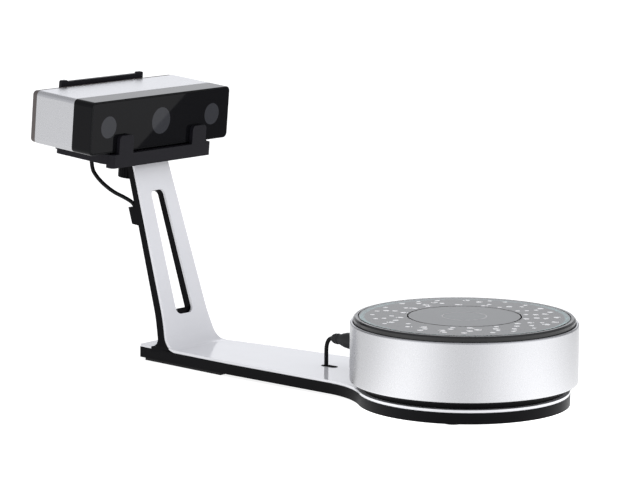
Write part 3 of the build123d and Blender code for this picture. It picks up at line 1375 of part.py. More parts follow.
BLADES = 7
with BuildPart() as fan_impeller:
    with BuildSketch(head_face(FAN_BACK + 0.8, FAN_SIDE)):
        Circle(6.5)
    extrude(amount=FAN_THICK - 2.4)
    with BuildSketch(head_face(FAN_BACK + 1.4, FAN_SIDE)):
        with PolarLocations(9.4, BLADES):
            Rectangle(7.4, 1.2, rotation=18)
    extrude(amount=4.4)
    with BuildSketch(head_face(FAN_BACK + 1.5, FAN_SIDE)):
        Circle(1.0 + RUN_FIT)
    extrude(amount=FAN_THICK, mode=Mode.SUBTRACT)
finish(fan_impeller, "fan_impeller")

with BuildPart() as power_button:
    with BuildSketch(head_face(REAR_END + 0.2, PORT_SIDE, BUTTON_UP)):
        Circle(BUTTON_R)
    extrude(amount=4)
    with BuildSketch(head_face(REAR_END + SHELL_WALL + 0.1, PORT_SIDE, BUTTON_UP)):
        Circle(6.2)
    extrude(amount=1.2)
finish(power_button, "power_button")

with BuildPart() as button_switch:
    with BuildSketch(head_face(REAR_END + 9.5, PORT_SIDE, BUTTON_UP)):
        Rectangle(12, 12)
    extrude(amount=4)
finish(button_switch, "button_switch")

spring_spot = head_face(REAR_END + 4.65, PORT_SIDE, BUTTON_UP).location
coil = Helix(pitch=1.7, height=4.4, radius=2.6)
coil_section = Plane(coil @ 0, z_dir=coil % 0) * Circle(0.35)
coil_solid = sweep(coil_section, path=coil, is_frenet=True)
with BuildPart() as button_spring:
    add(spring_spot * coil_solid)
finish(button_spring, "button_spring")

with BuildPart() as power_socket:
    with BuildSketch(head_face(REAR_END + 0.3, POWER_SIDE, PORT_DROP)):
        Rectangle(POWER_WIDE - PORT_GAP, PORT_HIGH - PORT_GAP)
        Circle(3.4, mode=Mode.SUBTRACT)
    extrude(amount=10)
    with BuildSketch(head_face(REAR_END + 10.3, POWER_SIDE, PORT_DROP)):
        Rectangle(POWER_WIDE - PORT_GAP, PORT_HIGH - PORT_GAP)
    extrude(amount=1.5)
    with BuildSketch(head_face(REAR_END + 1.5, POWER_SIDE, PORT_DROP)):
        Circle(1.0)
    extrude(amount=9)
finish(power_socket, "power_socket")

with BuildPart() as data_socket:
    with BuildSketch(head_face(REAR_END + 0.3, DATA_SIDE, PORT_DROP)):
        Rectangle(DATA_WIDE - PORT_GAP, PORT_HIGH - PORT_GAP)
        Rectangle(8.6, 7.8, mode=Mode.SUBTRACT)
    extrude(amount=10)
    with BuildSketch(head_face(REAR_END + 10.3, DATA_SIDE, PORT_DROP)):
        Rectangle(DATA_WIDE - PORT_GAP, PORT_HIGH - PORT_GAP)
    extrude(amount=1.5)
    with BuildSketch(head_face(REAR_END + 2.0, DATA_SIDE, PORT_DROP)):
        Rectangle(5.6, 3.2)
    extrude(amount=9)
finish(data_socket, "data_socket")

with BuildPart() as tripod_insert:
    with BuildSketch(head_deck(-HEAD_H / 2, SWIVEL_A)):
        Circle(6.0 - RUN_FIT)
    extrude(amount=HEAD_H / 2 - 17.2)
    with BuildSketch(head_deck(-HEAD_H / 2 + SHELL_WALL, SWIVEL_A)):
        Circle(8.0)
    extrude(amount=1.5)
    with BuildSketch(head_deck(-HEAD_H / 2, SWIVEL_A)):
        Circle(SCREW_R + RUN_FIT)
    extrude(amount=HEAD_H / 2 - 17.9, mode=Mode.SUBTRACT)
finish(tripod_insert, "tripod_insert")

with BuildPart() as head_gland:
    with BuildSketch(head_deck(-HEAD_H / 2 - 1, GLAND_A, GLAND_B)):
        Circle(3.5)
    extrude(amount=SHELL_WALL + 3)
    with BuildSketch(head_deck(-HEAD_H / 2 - 2.5, GLAND_A, GLAND_B)):
        Circle(GLAND_R)
    extrude(amount=2.5 - RUN_FIT)
    with BuildSketch(head_deck(-HEAD_H / 2 - 2.5, GLAND_A, GLAND_B)):
        Circle(4.2)
    with BuildSketch(head_deck(TRAY_BOTTOM - 3, GLAND_A, GLAND_B)):
        Circle(3.0)
    loft()
    add(lead_tube(upper_path, LEAD_R + RUN_FIT), mode=Mode.SUBTRACT)
finish(head_gland, "head_gland")

for piece in pieces:
    export_step(piece, "parts/" + piece.label + ".step")
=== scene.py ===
import json
import math
import random

import bmesh
import bpy
from mathutils import Matrix, Vector


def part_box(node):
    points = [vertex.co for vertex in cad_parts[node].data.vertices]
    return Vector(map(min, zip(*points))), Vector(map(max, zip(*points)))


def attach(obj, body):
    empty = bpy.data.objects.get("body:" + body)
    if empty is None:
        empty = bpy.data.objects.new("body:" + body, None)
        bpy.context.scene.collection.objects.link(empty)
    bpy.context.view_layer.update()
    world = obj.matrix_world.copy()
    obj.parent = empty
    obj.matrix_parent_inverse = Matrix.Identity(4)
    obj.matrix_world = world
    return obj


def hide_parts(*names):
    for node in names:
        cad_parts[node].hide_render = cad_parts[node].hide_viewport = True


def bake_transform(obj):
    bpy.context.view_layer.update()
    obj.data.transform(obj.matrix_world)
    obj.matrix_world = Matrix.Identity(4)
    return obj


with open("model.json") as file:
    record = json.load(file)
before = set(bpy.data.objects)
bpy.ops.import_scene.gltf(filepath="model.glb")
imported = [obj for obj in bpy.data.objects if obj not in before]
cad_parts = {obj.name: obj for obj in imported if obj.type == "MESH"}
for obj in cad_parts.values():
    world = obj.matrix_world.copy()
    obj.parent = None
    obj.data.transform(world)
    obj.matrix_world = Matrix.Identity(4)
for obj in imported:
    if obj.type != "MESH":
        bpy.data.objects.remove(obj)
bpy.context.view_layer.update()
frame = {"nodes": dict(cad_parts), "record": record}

MM = 0.001
FULL_TURN = 2 * math.pi
scene = bpy.context.scene
nodes_by_name = frame["nodes"]
platter_low, platter_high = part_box("platter")
TABLE_X = (platter_low.x + platter_high.x) / 2
TABLE_Y = (platter_low.y + platter_high.y) / 2

# ---------------------------------------------------------------- camera
CAMERA_AT = Vector((1.91304, -2.32817, 0.61266))
CAMERA_AZIMUTH = math.radians(39.45)
CAMERA_PITCH = math.radians(9.19)
CAMERA_ROLL = math.radians(0.24)
CAMERA_LENS = 185.4
SENSOR_WIDTH = 36
CLIP_NEAR = 0.1
CLIP_FAR = 100


def make_camera():
    """Camera with a long lens and no shift, which looks a little down on the near side of the table."""
    forward = Vector((
        -math.sin(CAMERA_AZIMUTH) * math.cos(CAMERA_PITCH),
        math.cos(CAMERA_AZIMUTH) * math.cos(CAMERA_PITCH),
        -math.sin(CAMERA_PITCH),
    ))
    level = Vector((math.cos(CAMERA_AZIMUTH), math.sin(CAMERA_AZIMUTH), 0))
    upright = level.cross(forward)
    right = level * math.cos(CAMERA_ROLL) + upright * math.sin(CAMERA_ROLL)
    up = right.cross(forward)
    data = bpy.data.cameras.new("camera")
    data.sensor_width = SENSOR_WIDTH
    data.lens = CAMERA_LENS
    data.clip_start = CLIP_NEAR
    data.clip_end = CLIP_FAR
    camera = bpy.data.objects.new("camera", data)
    turn = Matrix((right, up, -forward)).transposed().to_4x4()
    camera.matrix_world = Matrix.Translation(CAMERA_AT) @ turn
    scene.collection.objects.link(camera)
    scene.camera = camera


make_camera()


# ---------------------------------------------------------------- studio
def round_table(degrees, elevation):
    """Direction from the table, counted round to the right from the camera's side and up from the floor."""
    turn = math.radians(degrees) + CAMERA_AZIMUTH - math.pi / 2
    lift = math.radians(elevation)
    return Vector((math.cos(turn) * math.cos(lift), math.sin(turn) * math.cos(lift), math.sin(lift)))


STUDIO_TINT = (0.955, 0.965, 1.0, 1)
AMBIENT = 0.35
# degrees round from the camera, degrees up, sharpness, radiance
SOFT_LIGHTS = (
    (-53, 12, 5.5, 1.10),
    (60, 12, 3.2, 1.15),
    (180, 14, 8.0, 0.44),
    (180, 22, 30.0, 0.92),
    (0, 88, 2.5, 0.60),
)
TABLE_GLOW = 0.86
# the brighter sides of the floor: degrees round from the camera, sharpness, radiance
GLOW_LIGHTS = (
    (-53, 5.0, 1.0),
    (60, 2.6, 1.05),
)
GLOW_REACH = 1.1         # distance from the turntable, in metres, at which they have faded to a half


def add_lobe(tree, facing, direction, sharpness, strength, before):
    """One soft lobe of light on top of what came before: the cosine to its direction, raised to a power."""
    dot = tree.nodes.new("ShaderNodeVectorMath")
    dot.operation = "DOT_PRODUCT"
    dot.inputs[1].default_value = direction
    tree.links.new(facing, dot.inputs[0])
    in_front = tree.nodes.new("ShaderNodeMath")
    in_front.operation = "MAXIMUM"
    in_front.inputs[1].default_value = 0
    tree.links.new(dot.outputs["Value"], in_front.inputs[0])
    falloff = tree.nodes.new("ShaderNodeMath")
    falloff.operation = "POWER"
    falloff.inputs[1].default_value = sharpness
    tree.links.new(in_front.outputs[0], falloff.inputs[0])
    adding = tree.nodes.new("ShaderNodeMath")
    adding.operation = "MULTIPLY_ADD"
    adding.inputs[1].default_value = strength
    tree.links.new(falloff.outputs[0], adding.inputs[0])
    if isinstance(before, (int, float)):
        adding.inputs[2].default_value = before
    else:
        tree.links.new(before, adding.inputs[2])
    return adding.outputs[0]


def make_studio():
    """A white cove lit by broad soft lights, as a smooth sum of lobes that is darker round the camera."""
    scene.view_settings.view_transform = "Standard"
    scene.view_settings.look = "None"
    world = bpy.data.worlds.new("studio")
    scene.world = world
    world.use_nodes = True
    tree = world.node_tree
    shine = tree.nodes["Background"]
    shine.inputs["Color"].default_value = STUDIO_TINT
    place = tree.nodes.new("ShaderNodeTexCoord")
    total = AMBIENT
    for degrees, elevation, sharpness, radiance in SOFT_LIGHTS:
        direction = round_table(degrees, elevation)
        total = add_lobe(tree, place.outputs["Generated"], direction, sharpness, radiance, total)
    tree.links.new(total, shine.inputs["Strength"])


make_studio()


# ---------------------------------------------------------------- mesh helpers
def new_object(name, mesh):
    """Object for a mesh, in the scene."""
    thing = bpy.data.objects.new(name, mesh)
    scene.collection.objects.link(thing)
    return thing


def mesh_from(name, build, smooth_under=None):
    """Mesh filled by a function that works on a bmesh, smooth where faces meet at a small angle."""
    work = bmesh.new()
    build(work)
    bmesh.ops.recalc_face_normals(work, faces=work.faces)
    if smooth_under is not None:
        for face in work.faces:
            face.smooth = True
        for edge in work.edges:
            edge.smooth = len(edge.link_faces) == 2 and edge.calc_face_angle() < smooth_under
    mesh = bpy.data.meshes.new(name)
    work.to_mesh(mesh)
    work.free()
    return mesh


def lathe(work, profile, place, sides):
    """Closed solid of revolution: profile holds (distance along, radius), place puts it in the scene."""
    rings = []
    for along, radius in profile:
        ring = []
        for side in range(sides):
            turn = FULL_TURN * side / sides
            spot = Vector((radius * math.cos(turn), radius * math.sin(turn), along))
            ring.append(work.verts.new(place @ spot))
        rings.append(ring)
    for low, high in zip(rings, rings[1:]):
        for side in range(sides):
            after = (side + 1) % sides
            work.faces.new((low[side], low[after], high[after], high[side]))
    work.faces.new(rings[0])
    work.faces.new(rings[-1])


def add_piece(name, mesh, material, body, slot, *replaced):
    """Detail piece that rides on a CAD body, and may stand for CAD nodes."""
    piece = new_object(name, mesh)
    piece.data.materials.append(material)
    if body:
        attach(piece, body)
    if replaced:
        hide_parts(*replaced)
    return piece


# ---------------------------------------------------------------- materials
# noise scales, in features per metre
HANDLING_SCALE = 28
WIPING_SCALE = 45
TONE_SCALE = 20
PEEL_SCALE = 420
SMEAR_SCALE = 70
WAVE_SCALE = 160
# the middle range of noise values, where nearly all of them lie
NOISE_LOW = 0.3
NOISE_HIGH = 0.7
# sockets of a mix node that mixes colours
MIX_FACTOR = 0
MIX_A = 6
MIX_B = 7
MIX_OUT = 2


class Paint:
    """One node material, built up from a Principled shader."""

    def __init__(self, name, colour, roughness, metallic=0.0, **shader):
        self.material = bpy.data.materials.new(name)
        self.material.use_nodes = True
        self.tree = self.material.node_tree
        self.shader = self.tree.nodes["Principled BSDF"]
        self.colour = (*colour, 1)
        self.roughness = roughness
        self.shader.inputs["Base Color"].default_value = self.colour
        self.shader.inputs["Roughness"].default_value = roughness
        self.shader.inputs["Metallic"].default_value = metallic
        for socket, value in shader.items():
            self.shader.inputs[socket.replace("_", " ")].default_value = value
        self.place = self.tree.nodes.new("ShaderNodeTexCoord").outputs["Object"]

    def link(self, output, target):
        """Link from an output to an input."""
        self.tree.links.new(output, target)

    def noise(self, scale, detail, stretch=(1, 1, 1)):
        """Noise over the object's own coordinates, in features per metre."""
        mapping = self.tree.nodes.new("ShaderNodeMapping")
        mapping.inputs["Scale"].default_value = stretch
        self.link(self.place, mapping.inputs["Vector"])
        noise = self.tree.nodes.new("ShaderNodeTexNoise")
        noise.inputs["Scale"].default_value = scale
        noise.inputs["Detail"].default_value = detail
        self.link(mapping.outputs["Vector"], noise.inputs["Vector"])
        return noise.outputs["Fac"]

    def vary_roughness(self, value, amount):
        """Roughness that wanders by amount about its mean."""
        spread = self.tree.nodes.new("ShaderNodeMapRange")
        spread.inputs["From Min"].default_value = NOISE_LOW
        spread.inputs["From Max"].default_value = NOISE_HIGH
        spread.inputs["To Min"].default_value = self.roughness - amount
        spread.inputs["To Max"].default_value = self.roughness + amount
        self.link(value, spread.inputs["Value"])
        self.link(spread.outputs["Result"], self.shader.inputs["Roughness"])

    def vary_colour(self, value, darker, lighter):
        """Colour that wanders between two tones of itself."""
        mix = self.tree.nodes.new("ShaderNodeMix")
        mix.data_type = "RGBA"
        tone = self.colour[:3]
        mix.inputs[MIX_A].default_value = (*[c * darker for c in tone], 1)
        mix.inputs[MIX_B].default_value = (*[min(c * lighter, 1) for c in tone], 1)
        self.link(value, mix.inputs[MIX_FACTOR])
        self.link(mix.outputs[MIX_OUT], self.shader.inputs["Base Color"])

    def bump(self, value, distance, strength=1.0):
        """Fine relief, distance in metres."""
        bump = self.tree.nodes.new("ShaderNodeBump")
        bump.inputs["Strength"].default_value = strength
        bump.inputs["Distance"].default_value = distance
        self.link(value, bump.inputs["Height"])
        self.link(bump.outputs["Normal"], self.shader.inputs["Normal"])


# how much darker and lighter each finish gets
PLASTIC_TONES = (0.85, 1.18)
LACQUER_TONES = (0.97, 1.03)
METAL_TONES = (0.965, 1.035)
# how far a polished surface's roughness wanders, as a part of it
POLISH_WANDER = 0.4
WIPING_STRETCH = (1, 1, 3)
# strength of the relief
LACQUER_BUMP = 0.5
METAL_BUMP = 0.6
GLASS_BUMP = 0.3
GLASS_RELIEF = 0.000003
FLECK_RATIO = 1.7        # scale of a metal's flecks of tone to that of its grain


def plastic(name, colour, roughness, level=0.25, grain=2500, relief=0.00002, wander=0.05):
    """Moulded plastic or rubber with a fine spark-eroded grain and a trace of handling."""
    paint = Paint(name, colour, roughness, Specular_IOR_Level=level)
    clouds = paint.noise(HANDLING_SCALE, detail=3)
    paint.vary_roughness(clouds, wander)
    paint.vary_colour(clouds, *PLASTIC_TONES)
    paint.bump(paint.noise(grain, detail=3), relief)
    return paint.material


def gloss(name, colour, roughness, relief=0.000006, **shader):
    """Polished plastic or lacquer, with a trace of orange peel and of wiping."""
    paint = Paint(name, colour, roughness, **shader)
    wiping = paint.noise(WIPING_SCALE, detail=5, stretch=WIPING_STRETCH)
    paint.vary_roughness(wiping, roughness * POLISH_WANDER)
    paint.vary_colour(paint.noise(TONE_SCALE, detail=2), *LACQUER_TONES)
    paint.bump(paint.noise(PEEL_SCALE, detail=1), relief, LACQUER_BUMP)
    return paint.material


def metal(name, colour, roughness, stretch=(1, 1, 1), grain=900, relief=0.000004, wander=0.05):
    """Metal or metallic paint, with fine grain that may be drawn out into brush lines."""
    paint = Paint(name, colour, roughness, 1.0)
    brush = paint.noise(grain, detail=4, stretch=stretch)
    paint.vary_roughness(brush, wander)
    paint.vary_colour(paint.noise(grain * FLECK_RATIO, detail=3), *METAL_TONES)
    paint.bump(brush, relief, METAL_BUMP)
    return paint.material


def clear(name, colour, roughness, ior):
    """Glass or clear acrylic, faintly wiped."""
    paint = Paint(name, colour, roughness, Transmission_Weight=1.0, IOR=ior)
    paint.vary_roughness(paint.noise(SMEAR_SCALE, detail=4), roughness * POLISH_WANDER)
    paint.bump(paint.noise(WAVE_SCALE, detail=1), GLASS_RELIEF, GLASS_BUMP)
    return paint.material


looks = {
    "black_plastic": plastic("satin_black", (0.0036, 0.0035, 0.0042), 0.42, 0.05),
    "dark_cover": plastic("brown_black", (0.092, 0.079, 0.076), 0.5),
    "black_gloss": gloss("gloss_black", (0.004, 0.004, 0.0048), 0.08, Specular_IOR_Level=0.08),
    "white_cover": gloss("pearl_white", (0.70, 0.70, 0.722), 0.09),
    "silver_shell": metal("satin_silver", (0.47, 0.472, 0.485), 0.29),
    "black_rubber": plastic("rubber", (0.012, 0.012, 0.012), 0.75, 0.2, 1400, 0.00005),
    "lead_rubber": plastic("lead_skin", (0.006, 0.006, 0.0065), 0.4, 0.12, 1800, 0.00001),
    "steel": metal("steel", (0.55, 0.55, 0.57), 0.3, (1, 1, 6)),
    "bearing_steel": metal("bearing_steel", (0.68, 0.68, 0.7), 0.15),
    "brass": metal("brass", (0.75, 0.55, 0.25), 0.28),
    "gear_plastic": plastic("acetal", (0.8, 0.79, 0.74), 0.4, 0.5),
    "bench_metal": metal("bench_aluminium", (0.6, 0.61, 0.63), 0.38, (6, 1, 1)),
    "dark_metal": plastic("dark_enamel", (0.03, 0.03, 0.033), 0.35, 0.5),
    "board": plastic("board_green", (0.02, 0.16, 0.07), 0.35, 0.5),
    "marker_film": plastic("marker_film", (0.008, 0.009, 0.010), 0.5, 0.1),
    "clear_glass": clear("platter_glass", (0.20, 0.40, 0.40), 0.03, 1.22),
    "lens_glass": gloss("lens_window", (0.034, 0.035, 0.040), 0.02, 0.000001, Specular_IOR_Level=0.15),
}
marker_white = plastic("marker_white", (0.9, 0.9, 0.9), 0.55, 0.5, 3000, 0.000005)
plug_grey = plastic("plug_grey", (0.024, 0.024, 0.025), 0.45, 0.15, 2200, 0.00002)
film_black = plastic("film_black", (0.001, 0.001, 0.001), 0.3, 0.0)
film_grey = plastic("film_grey", (0.022, 0.022, 0.023), 0.5, 0.05)
film_mid = plastic("film_mid", (0.045, 0.045, 0.047), 0.5, 0.05)
film_pale = plastic("film_pale", (0.5, 0.5, 0.51), 0.5, 0.05)
platter_black = gloss("platter_black", (0.008, 0.008, 0.0085), 0.22, Specular_IOR_Level=0.35)
cradle_slate = plastic("cradle_slate", (0.0085, 0.0080, 0.0108), 0.42, 0.10)
pane_gloss = gloss("pane_gloss", (0.004, 0.004, 0.0048), 0.02, 0.000001, Specular_IOR_Level=0.10)

# nodes that look a little different from the rest of their material slot
look_of = {"platter": platter_black, "cradle": cradle_slate, "front_window": pane_gloss}
slot_of = {row["node"]: row["material_slot"] for row in frame["record"]["subparts"]}
for name, thing in nodes_by_name.items():
    thing.data.materials.clear()
    thing.data.materials.append(look_of.get(name, looks[slot_of[name]]))


# ---------------------------------------------------------------- softened edges on the CAD nodes
# width of the rounding on each node's sharp edges, in millimetres
EDGE_ROUNDS = {
    "top_cover": 0.7,
    "foot_cap": 0.25,
    "base_body": 0.35,
    "arm_frame": 0.35,
    "cable_clip": 0.5,
    "cradle": 0.45,
    "head_shell": 0.2,
    "rear_cover": 0.4,
    "front_bezel": 0.5,
    "drum_shell": 0.7,
    "drum_base": 0.3,
}
MIN_EDGE_ANGLE = math.radians(35)
WELD_REACH = 0.000005
BEVEL_STEPS = 3
EVENING_WEIGHT = 100


def soften(node, width):
    """Round a node's sharp edges with modifiers alone, as a mould or a deburring wheel leaves them."""
    thing = nodes_by_name[node]
    weld = thing.modifiers.new("weld", "WELD")
    weld.merge_threshold = WELD_REACH
    bevel = thing.modifiers.new("edge_round", "BEVEL")
    bevel.width = width * MM
    bevel.segments = BEVEL_STEPS
    bevel.limit_method = "ANGLE"
    bevel.angle_limit = MIN_EDGE_ANGLE
    bevel.use_clamp_overlap = True
    evened = thing.modifiers.new("even_normals", "WEIGHTED_NORMAL")
    evened.weight = EVENING_WEIGHT
    evened.keep_sharp = True


for node, width in EDGE_ROUNDS.items():
    soften(node, width)


# ---------------------------------------------------------------- lead
LEAD_R = 2.0
LEAD_ROUNDNESS = 6
LEAD_STEPS = 10
LEAD_ORDER = 3
# points of the lead's route, in millimetres from the turntable's axis, from the plug to the arm's rail
RAIL_MIDDLE = (-367.15, -19.2, 108.0)
LOWER_ROUTE = (
    (-154.0, 0, 43.0),
    (-163.0, 0, 43.0),
    (-163.0, 0, 16.0),
    (-163.0, 0, 7.6),
    (-200.0, -3.0, 7.6),
    (-245.0, -12.0, 7.6),
    (-290.0, -17.0, 7.6),
    (-337.5, -19.0, 7.6),
    (-348.0, -19.2, 46.0),
    (-359.5, -19.0, 84.0),
    RAIL_MIDDLE,
)
# and on from there through the clip to the gland under the head
UPPER_ROUTE = (
    RAIL_MIDDLE,
    (-374.8, -19.4, 132.0),
    (-387.5, -19.8, 141.5),
    (-391.0, -20.6, 151.5),
    (-399.0, -24.6, 156.8),
    (-412.5, -29.5, 162.5),
    (-427.0, -34.0, 174.0),
    (-436.6, -35.0, 186.4),
    (-434.0, -35.0, 215.7),
)


def from_table(x, y, z):
    """Point in the scene from millimetres about the turntable's axis."""
    return Vector((TABLE_X + x * MM, TABLE_Y + y * MM, z * MM))


def lead_mesh(name, route):
    """Round lead along a smooth spline with the route's points as its control points."""
    data = bpy.data.curves.new(name + "_line", "CURVE")
    data.dimensions = "3D"
    data.bevel_depth = LEAD_R * MM
    data.bevel_resolution = LEAD_ROUNDNESS
    data.resolution_u = LEAD_STEPS
    data.use_fill_caps = True
    spline = data.splines.new("NURBS")
    spline.points.add(len(route) - 1)
    for point, spot in zip(spline.points, route):
        point.co = (*from_table(*spot), 1)
    spline.order_u = LEAD_ORDER
    spline.use_endpoint_u = True
    line = new_object(name + "_line", data)
    bpy.context.view_layer.update()
    evaluated = line.evaluated_get(bpy.context.evaluated_depsgraph_get())
    mesh = bpy.data.meshes.new_from_object(evaluated)
    mesh.name = name
    bpy.data.objects.remove(line)
    for face in mesh.polygons:
        face.use_smooth = True
    return mesh


def make_leads():
    """The lead's two stretches. The lower one rides on the stand, the upper one runs up to the head and stays
    as built.
    """
    skin = looks["lead_rubber"]
    lower_mesh = lead_mesh("lead_in_base", LOWER_ROUTE)
    add_piece("lead_in_base", lower_mesh, skin, "stand", "lead_rubber", "lead_lower")
    upper_mesh = lead_mesh("lead_to_head", UPPER_ROUTE)
    upper = add_piece("lead_to_head", upper_mesh, skin, None, "lead_rubber", "lead_upper")
    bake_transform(upper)


PLUG_Z = 43.0
PLUG_SIDES = 48
PLUG_SMOOTH = math.radians(50)
# distance from the turntable's axis and radius, from the plug's nose to where the lead comes out
PLUG_PROFILE = (
    (96.5, 6.0),
    (105.1, 6.0),
    (105.2, 7.3),
    (105.8, 7.9),
    (131.0, 7.9),
    (134.5, 7.75),
    (138.5, 7.2),
    (142.0, 6.2),
    (145.0, 5.1),
    (146.6, 4.6),
    (147.4, 4.6),
    (147.9, 5.2),
    (149.1, 5.2),
    (149.5, 4.6),
    (150.2, 4.6),
    (150.6, 5.0),
    (151.8, 4.9),
    (152.2, 4.3),
    (152.8, 4.3),
    (153.2, 4.4),
    (154.2, 3.9),
    (155.4, 2.9),
    (156.0, 2.2),
)


def make_plug():
    """Moulded plug with a waisted body and two ridges on its strain relief."""
    place = Matrix.Translation(from_table(0, 0, PLUG_Z)) @ Matrix.Rotation(-math.pi / 2, 4, "Y")
    profile = [(along * MM, radius * MM) for along, radius in PLUG_PROFILE]
    mesh = mesh_from("moulded_plug", lambda work: lathe(work, profile, place, PLUG_SIDES), PLUG_SMOOTH)
    add_piece("moulded_plug", mesh, plug_grey, "stand", "lead_rubber", "lead_plug")


make_leads()
make_plug()

# ---------------------------------------------------------------- button spring
HEAD_TILT = math.radians(5)
HEAD_FORWARD = Vector((math.cos(HEAD_TILT), 0, -math.sin(HEAD_TILT)))
COIL_R = 2.6
WIRE_R = 0.33
COIL_TURNS = 2.6
COIL_LONG = 4.3
COIL_STEPS = 90
WIRE_SIDES = 8
COIL_SMOOTH = math.radians(60)


def coil_faces(work, middle):
    """Round wire wound along the head's forward direction, closed at both ends."""
    side = Vector((0, 1, 0))
    upward = HEAD_FORWARD.cross(side)
    rings = []
    for step in range(COIL_STEPS + 1):
        turn = FULL_TURN * COIL_TURNS * step / COIL_STEPS
        outward = side * math.cos(turn) + upward * math.sin(turn)
        spot = middle + (outward * COIL_R + HEAD_FORWARD * COIL_LONG * (step / COIL_STEPS - 0.5)) * MM
        ring = []
        for corner in range(WIRE_SIDES):
            around = FULL_TURN * corner / WIRE_SIDES
            reach = outward * math.cos(around) + HEAD_FORWARD * math.sin(around)
            ring.append(work.verts.new(spot + reach * WIRE_R * MM))
        rings.append(ring)
    for here, after in zip(rings, rings[1:]):
        for corner in range(WIRE_SIDES):
            following = (corner + 1) % WIRE_SIDES
            work.faces.new((here[corner], here[following], after[following], after[corner]))
    work.faces.new(rings[0])
    work.faces.new(rings[-1])


def make_spring():
    """The button's spring, a coil built at its rest length."""
    low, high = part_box("button_spring")
    middle = (low + high) / 2
    mesh = mesh_from("button_coil", lambda work: coil_faces(work, middle), COIL_SMOOTH)
    coil = add_piece("button_coil", mesh, looks["steel"], None, "steel", "button_spring")
    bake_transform(coil)


make_spring()

# ---------------------------------------------------------------- marks on the platter
GLASS_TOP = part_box("glass_disc")[1].z
FILM_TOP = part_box("marker_disc")[1].z
PRINT_THICK = 0.03 * MM
RING_STEPS = 96
INNER_RING_R = 52.0
INNER_RING_HALF = 0.6
CENTRE_R = 20.0
OUTLINE_WIDE = 0.7
# ring radius, how many marks, mark radius, all in millimetres
DOT_RINGS = (
    (58.5, 16, 3.2),
    (67.0, 19, 3.2),
    (75.5, 22, 3.2),
    (84.0, 24, 3.2),
)
DOT_SEED = 5
DOT_SIDES = 28
DOT_CHANCE = 0.92
DOT_SHRINK = (0.65, 0.9)
PLACE_SPREAD = 0.2       # as a part of the distance to the next mark
REACH_SPREAD = 1.2
ARC_CHANCE = 0.45
ARC_IN = 3.5
ARC_OUT = 4.5
ARC_STEPS = 16
ARC_SWEEP = (0.8, 2.6)


def print_ring(work, centre, inner, outer, start=0.0, sweep=FULL_TURN, steps=RING_STEPS):
    """Thin printed ring or arc, a closed sheet with its own thickness. An inner radius of 0 gives a disc."""
    whole = sweep == FULL_TURN
    count = steps if whole else steps + 1
    levels = []
    for height in (centre.z, centre.z + PRINT_THICK):
        loops = []
        for radius in (inner, outer) if inner else (outer,):
            loop = []
            for step in range(count):
                turn = start + sweep * step / steps
                spot = centre + Vector((math.cos(turn), math.sin(turn), 0)) * radius * MM
                loop.append(work.verts.new((spot.x, spot.y, height)))
            loops.append(loop)
        levels.append(loops)
    low, high = levels
    spans = [(step, (step + 1) % count) for step in range(steps)]
    if not inner:
        work.faces.new(low[0])
        work.faces.new(high[0])
    for here, after in spans:
        if inner:
            for level in (low, high):
                work.faces.new((level[0][here], level[1][here], level[1][after], level[0][after]))
            work.faces.new((low[0][here], low[0][after], high[0][after], high[0][here]))
        work.faces.new((low[-1][here], low[-1][after], high[-1][after], high[-1][here]))
    if not whole:
        for end in (0, count - 1):
            work.faces.new((low[0][end], low[1][end], high[1][end], high[0][end]))


def scatter_marks(work):
    """An own pattern of white marks: dots in rings, some left out, some with part of a ring round them."""
    dice = random.Random(DOT_SEED)
    for ring, (radius, count, size) in enumerate(DOT_RINGS):
        for place in range(count):
            shift = 0.5 * (ring % 2) + dice.uniform(-PLACE_SPREAD, PLACE_SPREAD)
            turn = FULL_TURN * (place + shift) / count
            reach = radius + dice.uniform(-REACH_SPREAD, REACH_SPREAD)
            if dice.random() > DOT_CHANCE:
                continue
            centre = from_table(reach * math.cos(turn), reach * math.sin(turn), GLASS_TOP / MM)
            print_ring(work, centre, 0, size * dice.uniform(*DOT_SHRINK), steps=DOT_SIDES)
            if dice.random() < ARC_CHANCE:
                begin = dice.uniform(0, FULL_TURN)
                sweep = dice.uniform(*ARC_SWEEP)
                print_ring(work, centre, ARC_IN, ARC_OUT, begin, sweep, ARC_STEPS)


def make_film():
    """What is printed: white marks, a dark ring and a pale outline on the glass, grey fields on the film."""
    printed = (
        ("print_ring", film_black, GLASS_TOP, INNER_RING_R - INNER_RING_HALF, INNER_RING_R + INNER_RING_HALF),
        ("print_outline", film_pale, GLASS_TOP, CENTRE_R, CENTRE_R + OUTLINE_WIDE),
        ("film_field", film_grey, FILM_TOP, CENTRE_R, INNER_RING_R),
        ("film_centre", film_mid, FILM_TOP, 0, CENTRE_R),
    )
    marks = mesh_from("marker_marks", scatter_marks)
    add_piece("marker_marks", marks, marker_white, "platter", "marker_film")
    for name, ink, height, inner, outer in printed:
        centre = from_table(0, 0, height / MM)
        mesh = mesh_from(name, lambda work: print_ring(work, centre, inner, outer))
        add_piece(name, mesh, ink, "platter", "marker_film")


make_film()


# ---------------------------------------------------------------- floor
FLOOR_REACH = 30
FLOOR_WHITE = (0.35, 0.35, 0.35)
FLOOR_ROUGHNESS = 0.9
FLOOR_TONE_SCALE = 0.8
FLOOR_TONES = (0.985, 1.0)


def floor_faces(work):
    """One large square."""
    corners = ((-1, -1), (1, -1), (1, 1), (-1, 1))
    work.faces.new([work.verts.new((x * FLOOR_REACH, y * FLOOR_REACH, 0)) for x, y in corners])


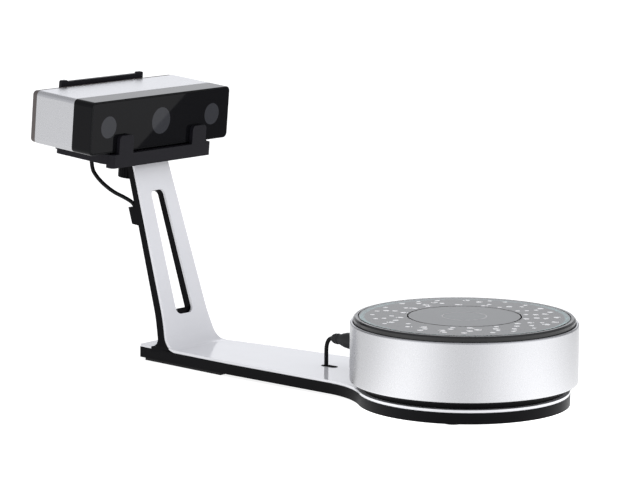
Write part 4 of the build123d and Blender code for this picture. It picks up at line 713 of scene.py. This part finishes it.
def make_floor():
    """Plain white floor that glows from within, as a light table does, most on two sides of the object."""
    floor = new_object("floor", mesh_from("floor", floor_faces))
    paint = Paint("floor_white", FLOOR_WHITE, FLOOR_ROUGHNESS, Emission_Color=(1, 1, 1, 1))
    paint.vary_colour(paint.noise(FLOOR_TONE_SCALE, detail=2), *FLOOR_TONES)
    tree = paint.tree
    offset = tree.nodes.new("ShaderNodeVectorMath")
    offset.operation = "SUBTRACT"
    offset.inputs[1].default_value = (TABLE_X, TABLE_Y, 0)
    paint.link(paint.place, offset.inputs[0])
    heading = tree.nodes.new("ShaderNodeVectorMath")
    heading.operation = "NORMALIZE"
    paint.link(offset.outputs[0], heading.inputs[0])
    glow = 0
    for degrees, sharpness, strength in GLOW_LIGHTS:
        glow = add_lobe(tree, heading.outputs[0], round_table(degrees, 0), sharpness, strength, glow)
    reach = tree.nodes.new("ShaderNodeVectorMath")
    reach.operation = "LENGTH"
    paint.link(offset.outputs[0], reach.inputs[0])
    # the glow fades as 1 / (1 + (distance / GLOW_REACH) squared)
    steps = (("DIVIDE", GLOW_REACH), ("POWER", 2), ("ADD", 1), ("POWER", -1))
    fading = reach.outputs["Value"]
    for operation, value in steps:
        step = tree.nodes.new("ShaderNodeMath")
        step.operation = operation
        step.inputs[1].default_value = value
        paint.link(fading, step.inputs[0])
        fading = step.outputs[0]
    total = tree.nodes.new("ShaderNodeMath")
    total.operation = "MULTIPLY_ADD"
    total.inputs[2].default_value = TABLE_GLOW
    paint.link(glow, total.inputs[0])
    paint.link(fading, total.inputs[1])
    paint.link(total.outputs[0], paint.shader.inputs["Emission Strength"])
    floor.data.materials.append(paint.material)


# corners of the card, which lies on the floor to the right of the picture, in metres
CARD_CORNERS = ((0.30, 0.514), (0.60, 1.0), (0.25, 1.0), (0.15, 0.514))
CARD_LIFT = 0.002
CARD_GREY = (0.35, 0.35, 0.36)
CARD_ROUGHNESS = 0.9


def card_face(work):
    """One flat four-sided face."""
    work.faces.new([work.verts.new((x, y, CARD_LIFT)) for x, y in CARD_CORNERS])


def make_card():
    """Grey card whose edge mirrors as a diagonal in the head's glossy pane."""
    card = new_object("card", mesh_from("card", card_face))
    card.data.materials.append(plastic("card_grey", CARD_GREY, CARD_ROUGHNESS))


make_card()
make_floor()
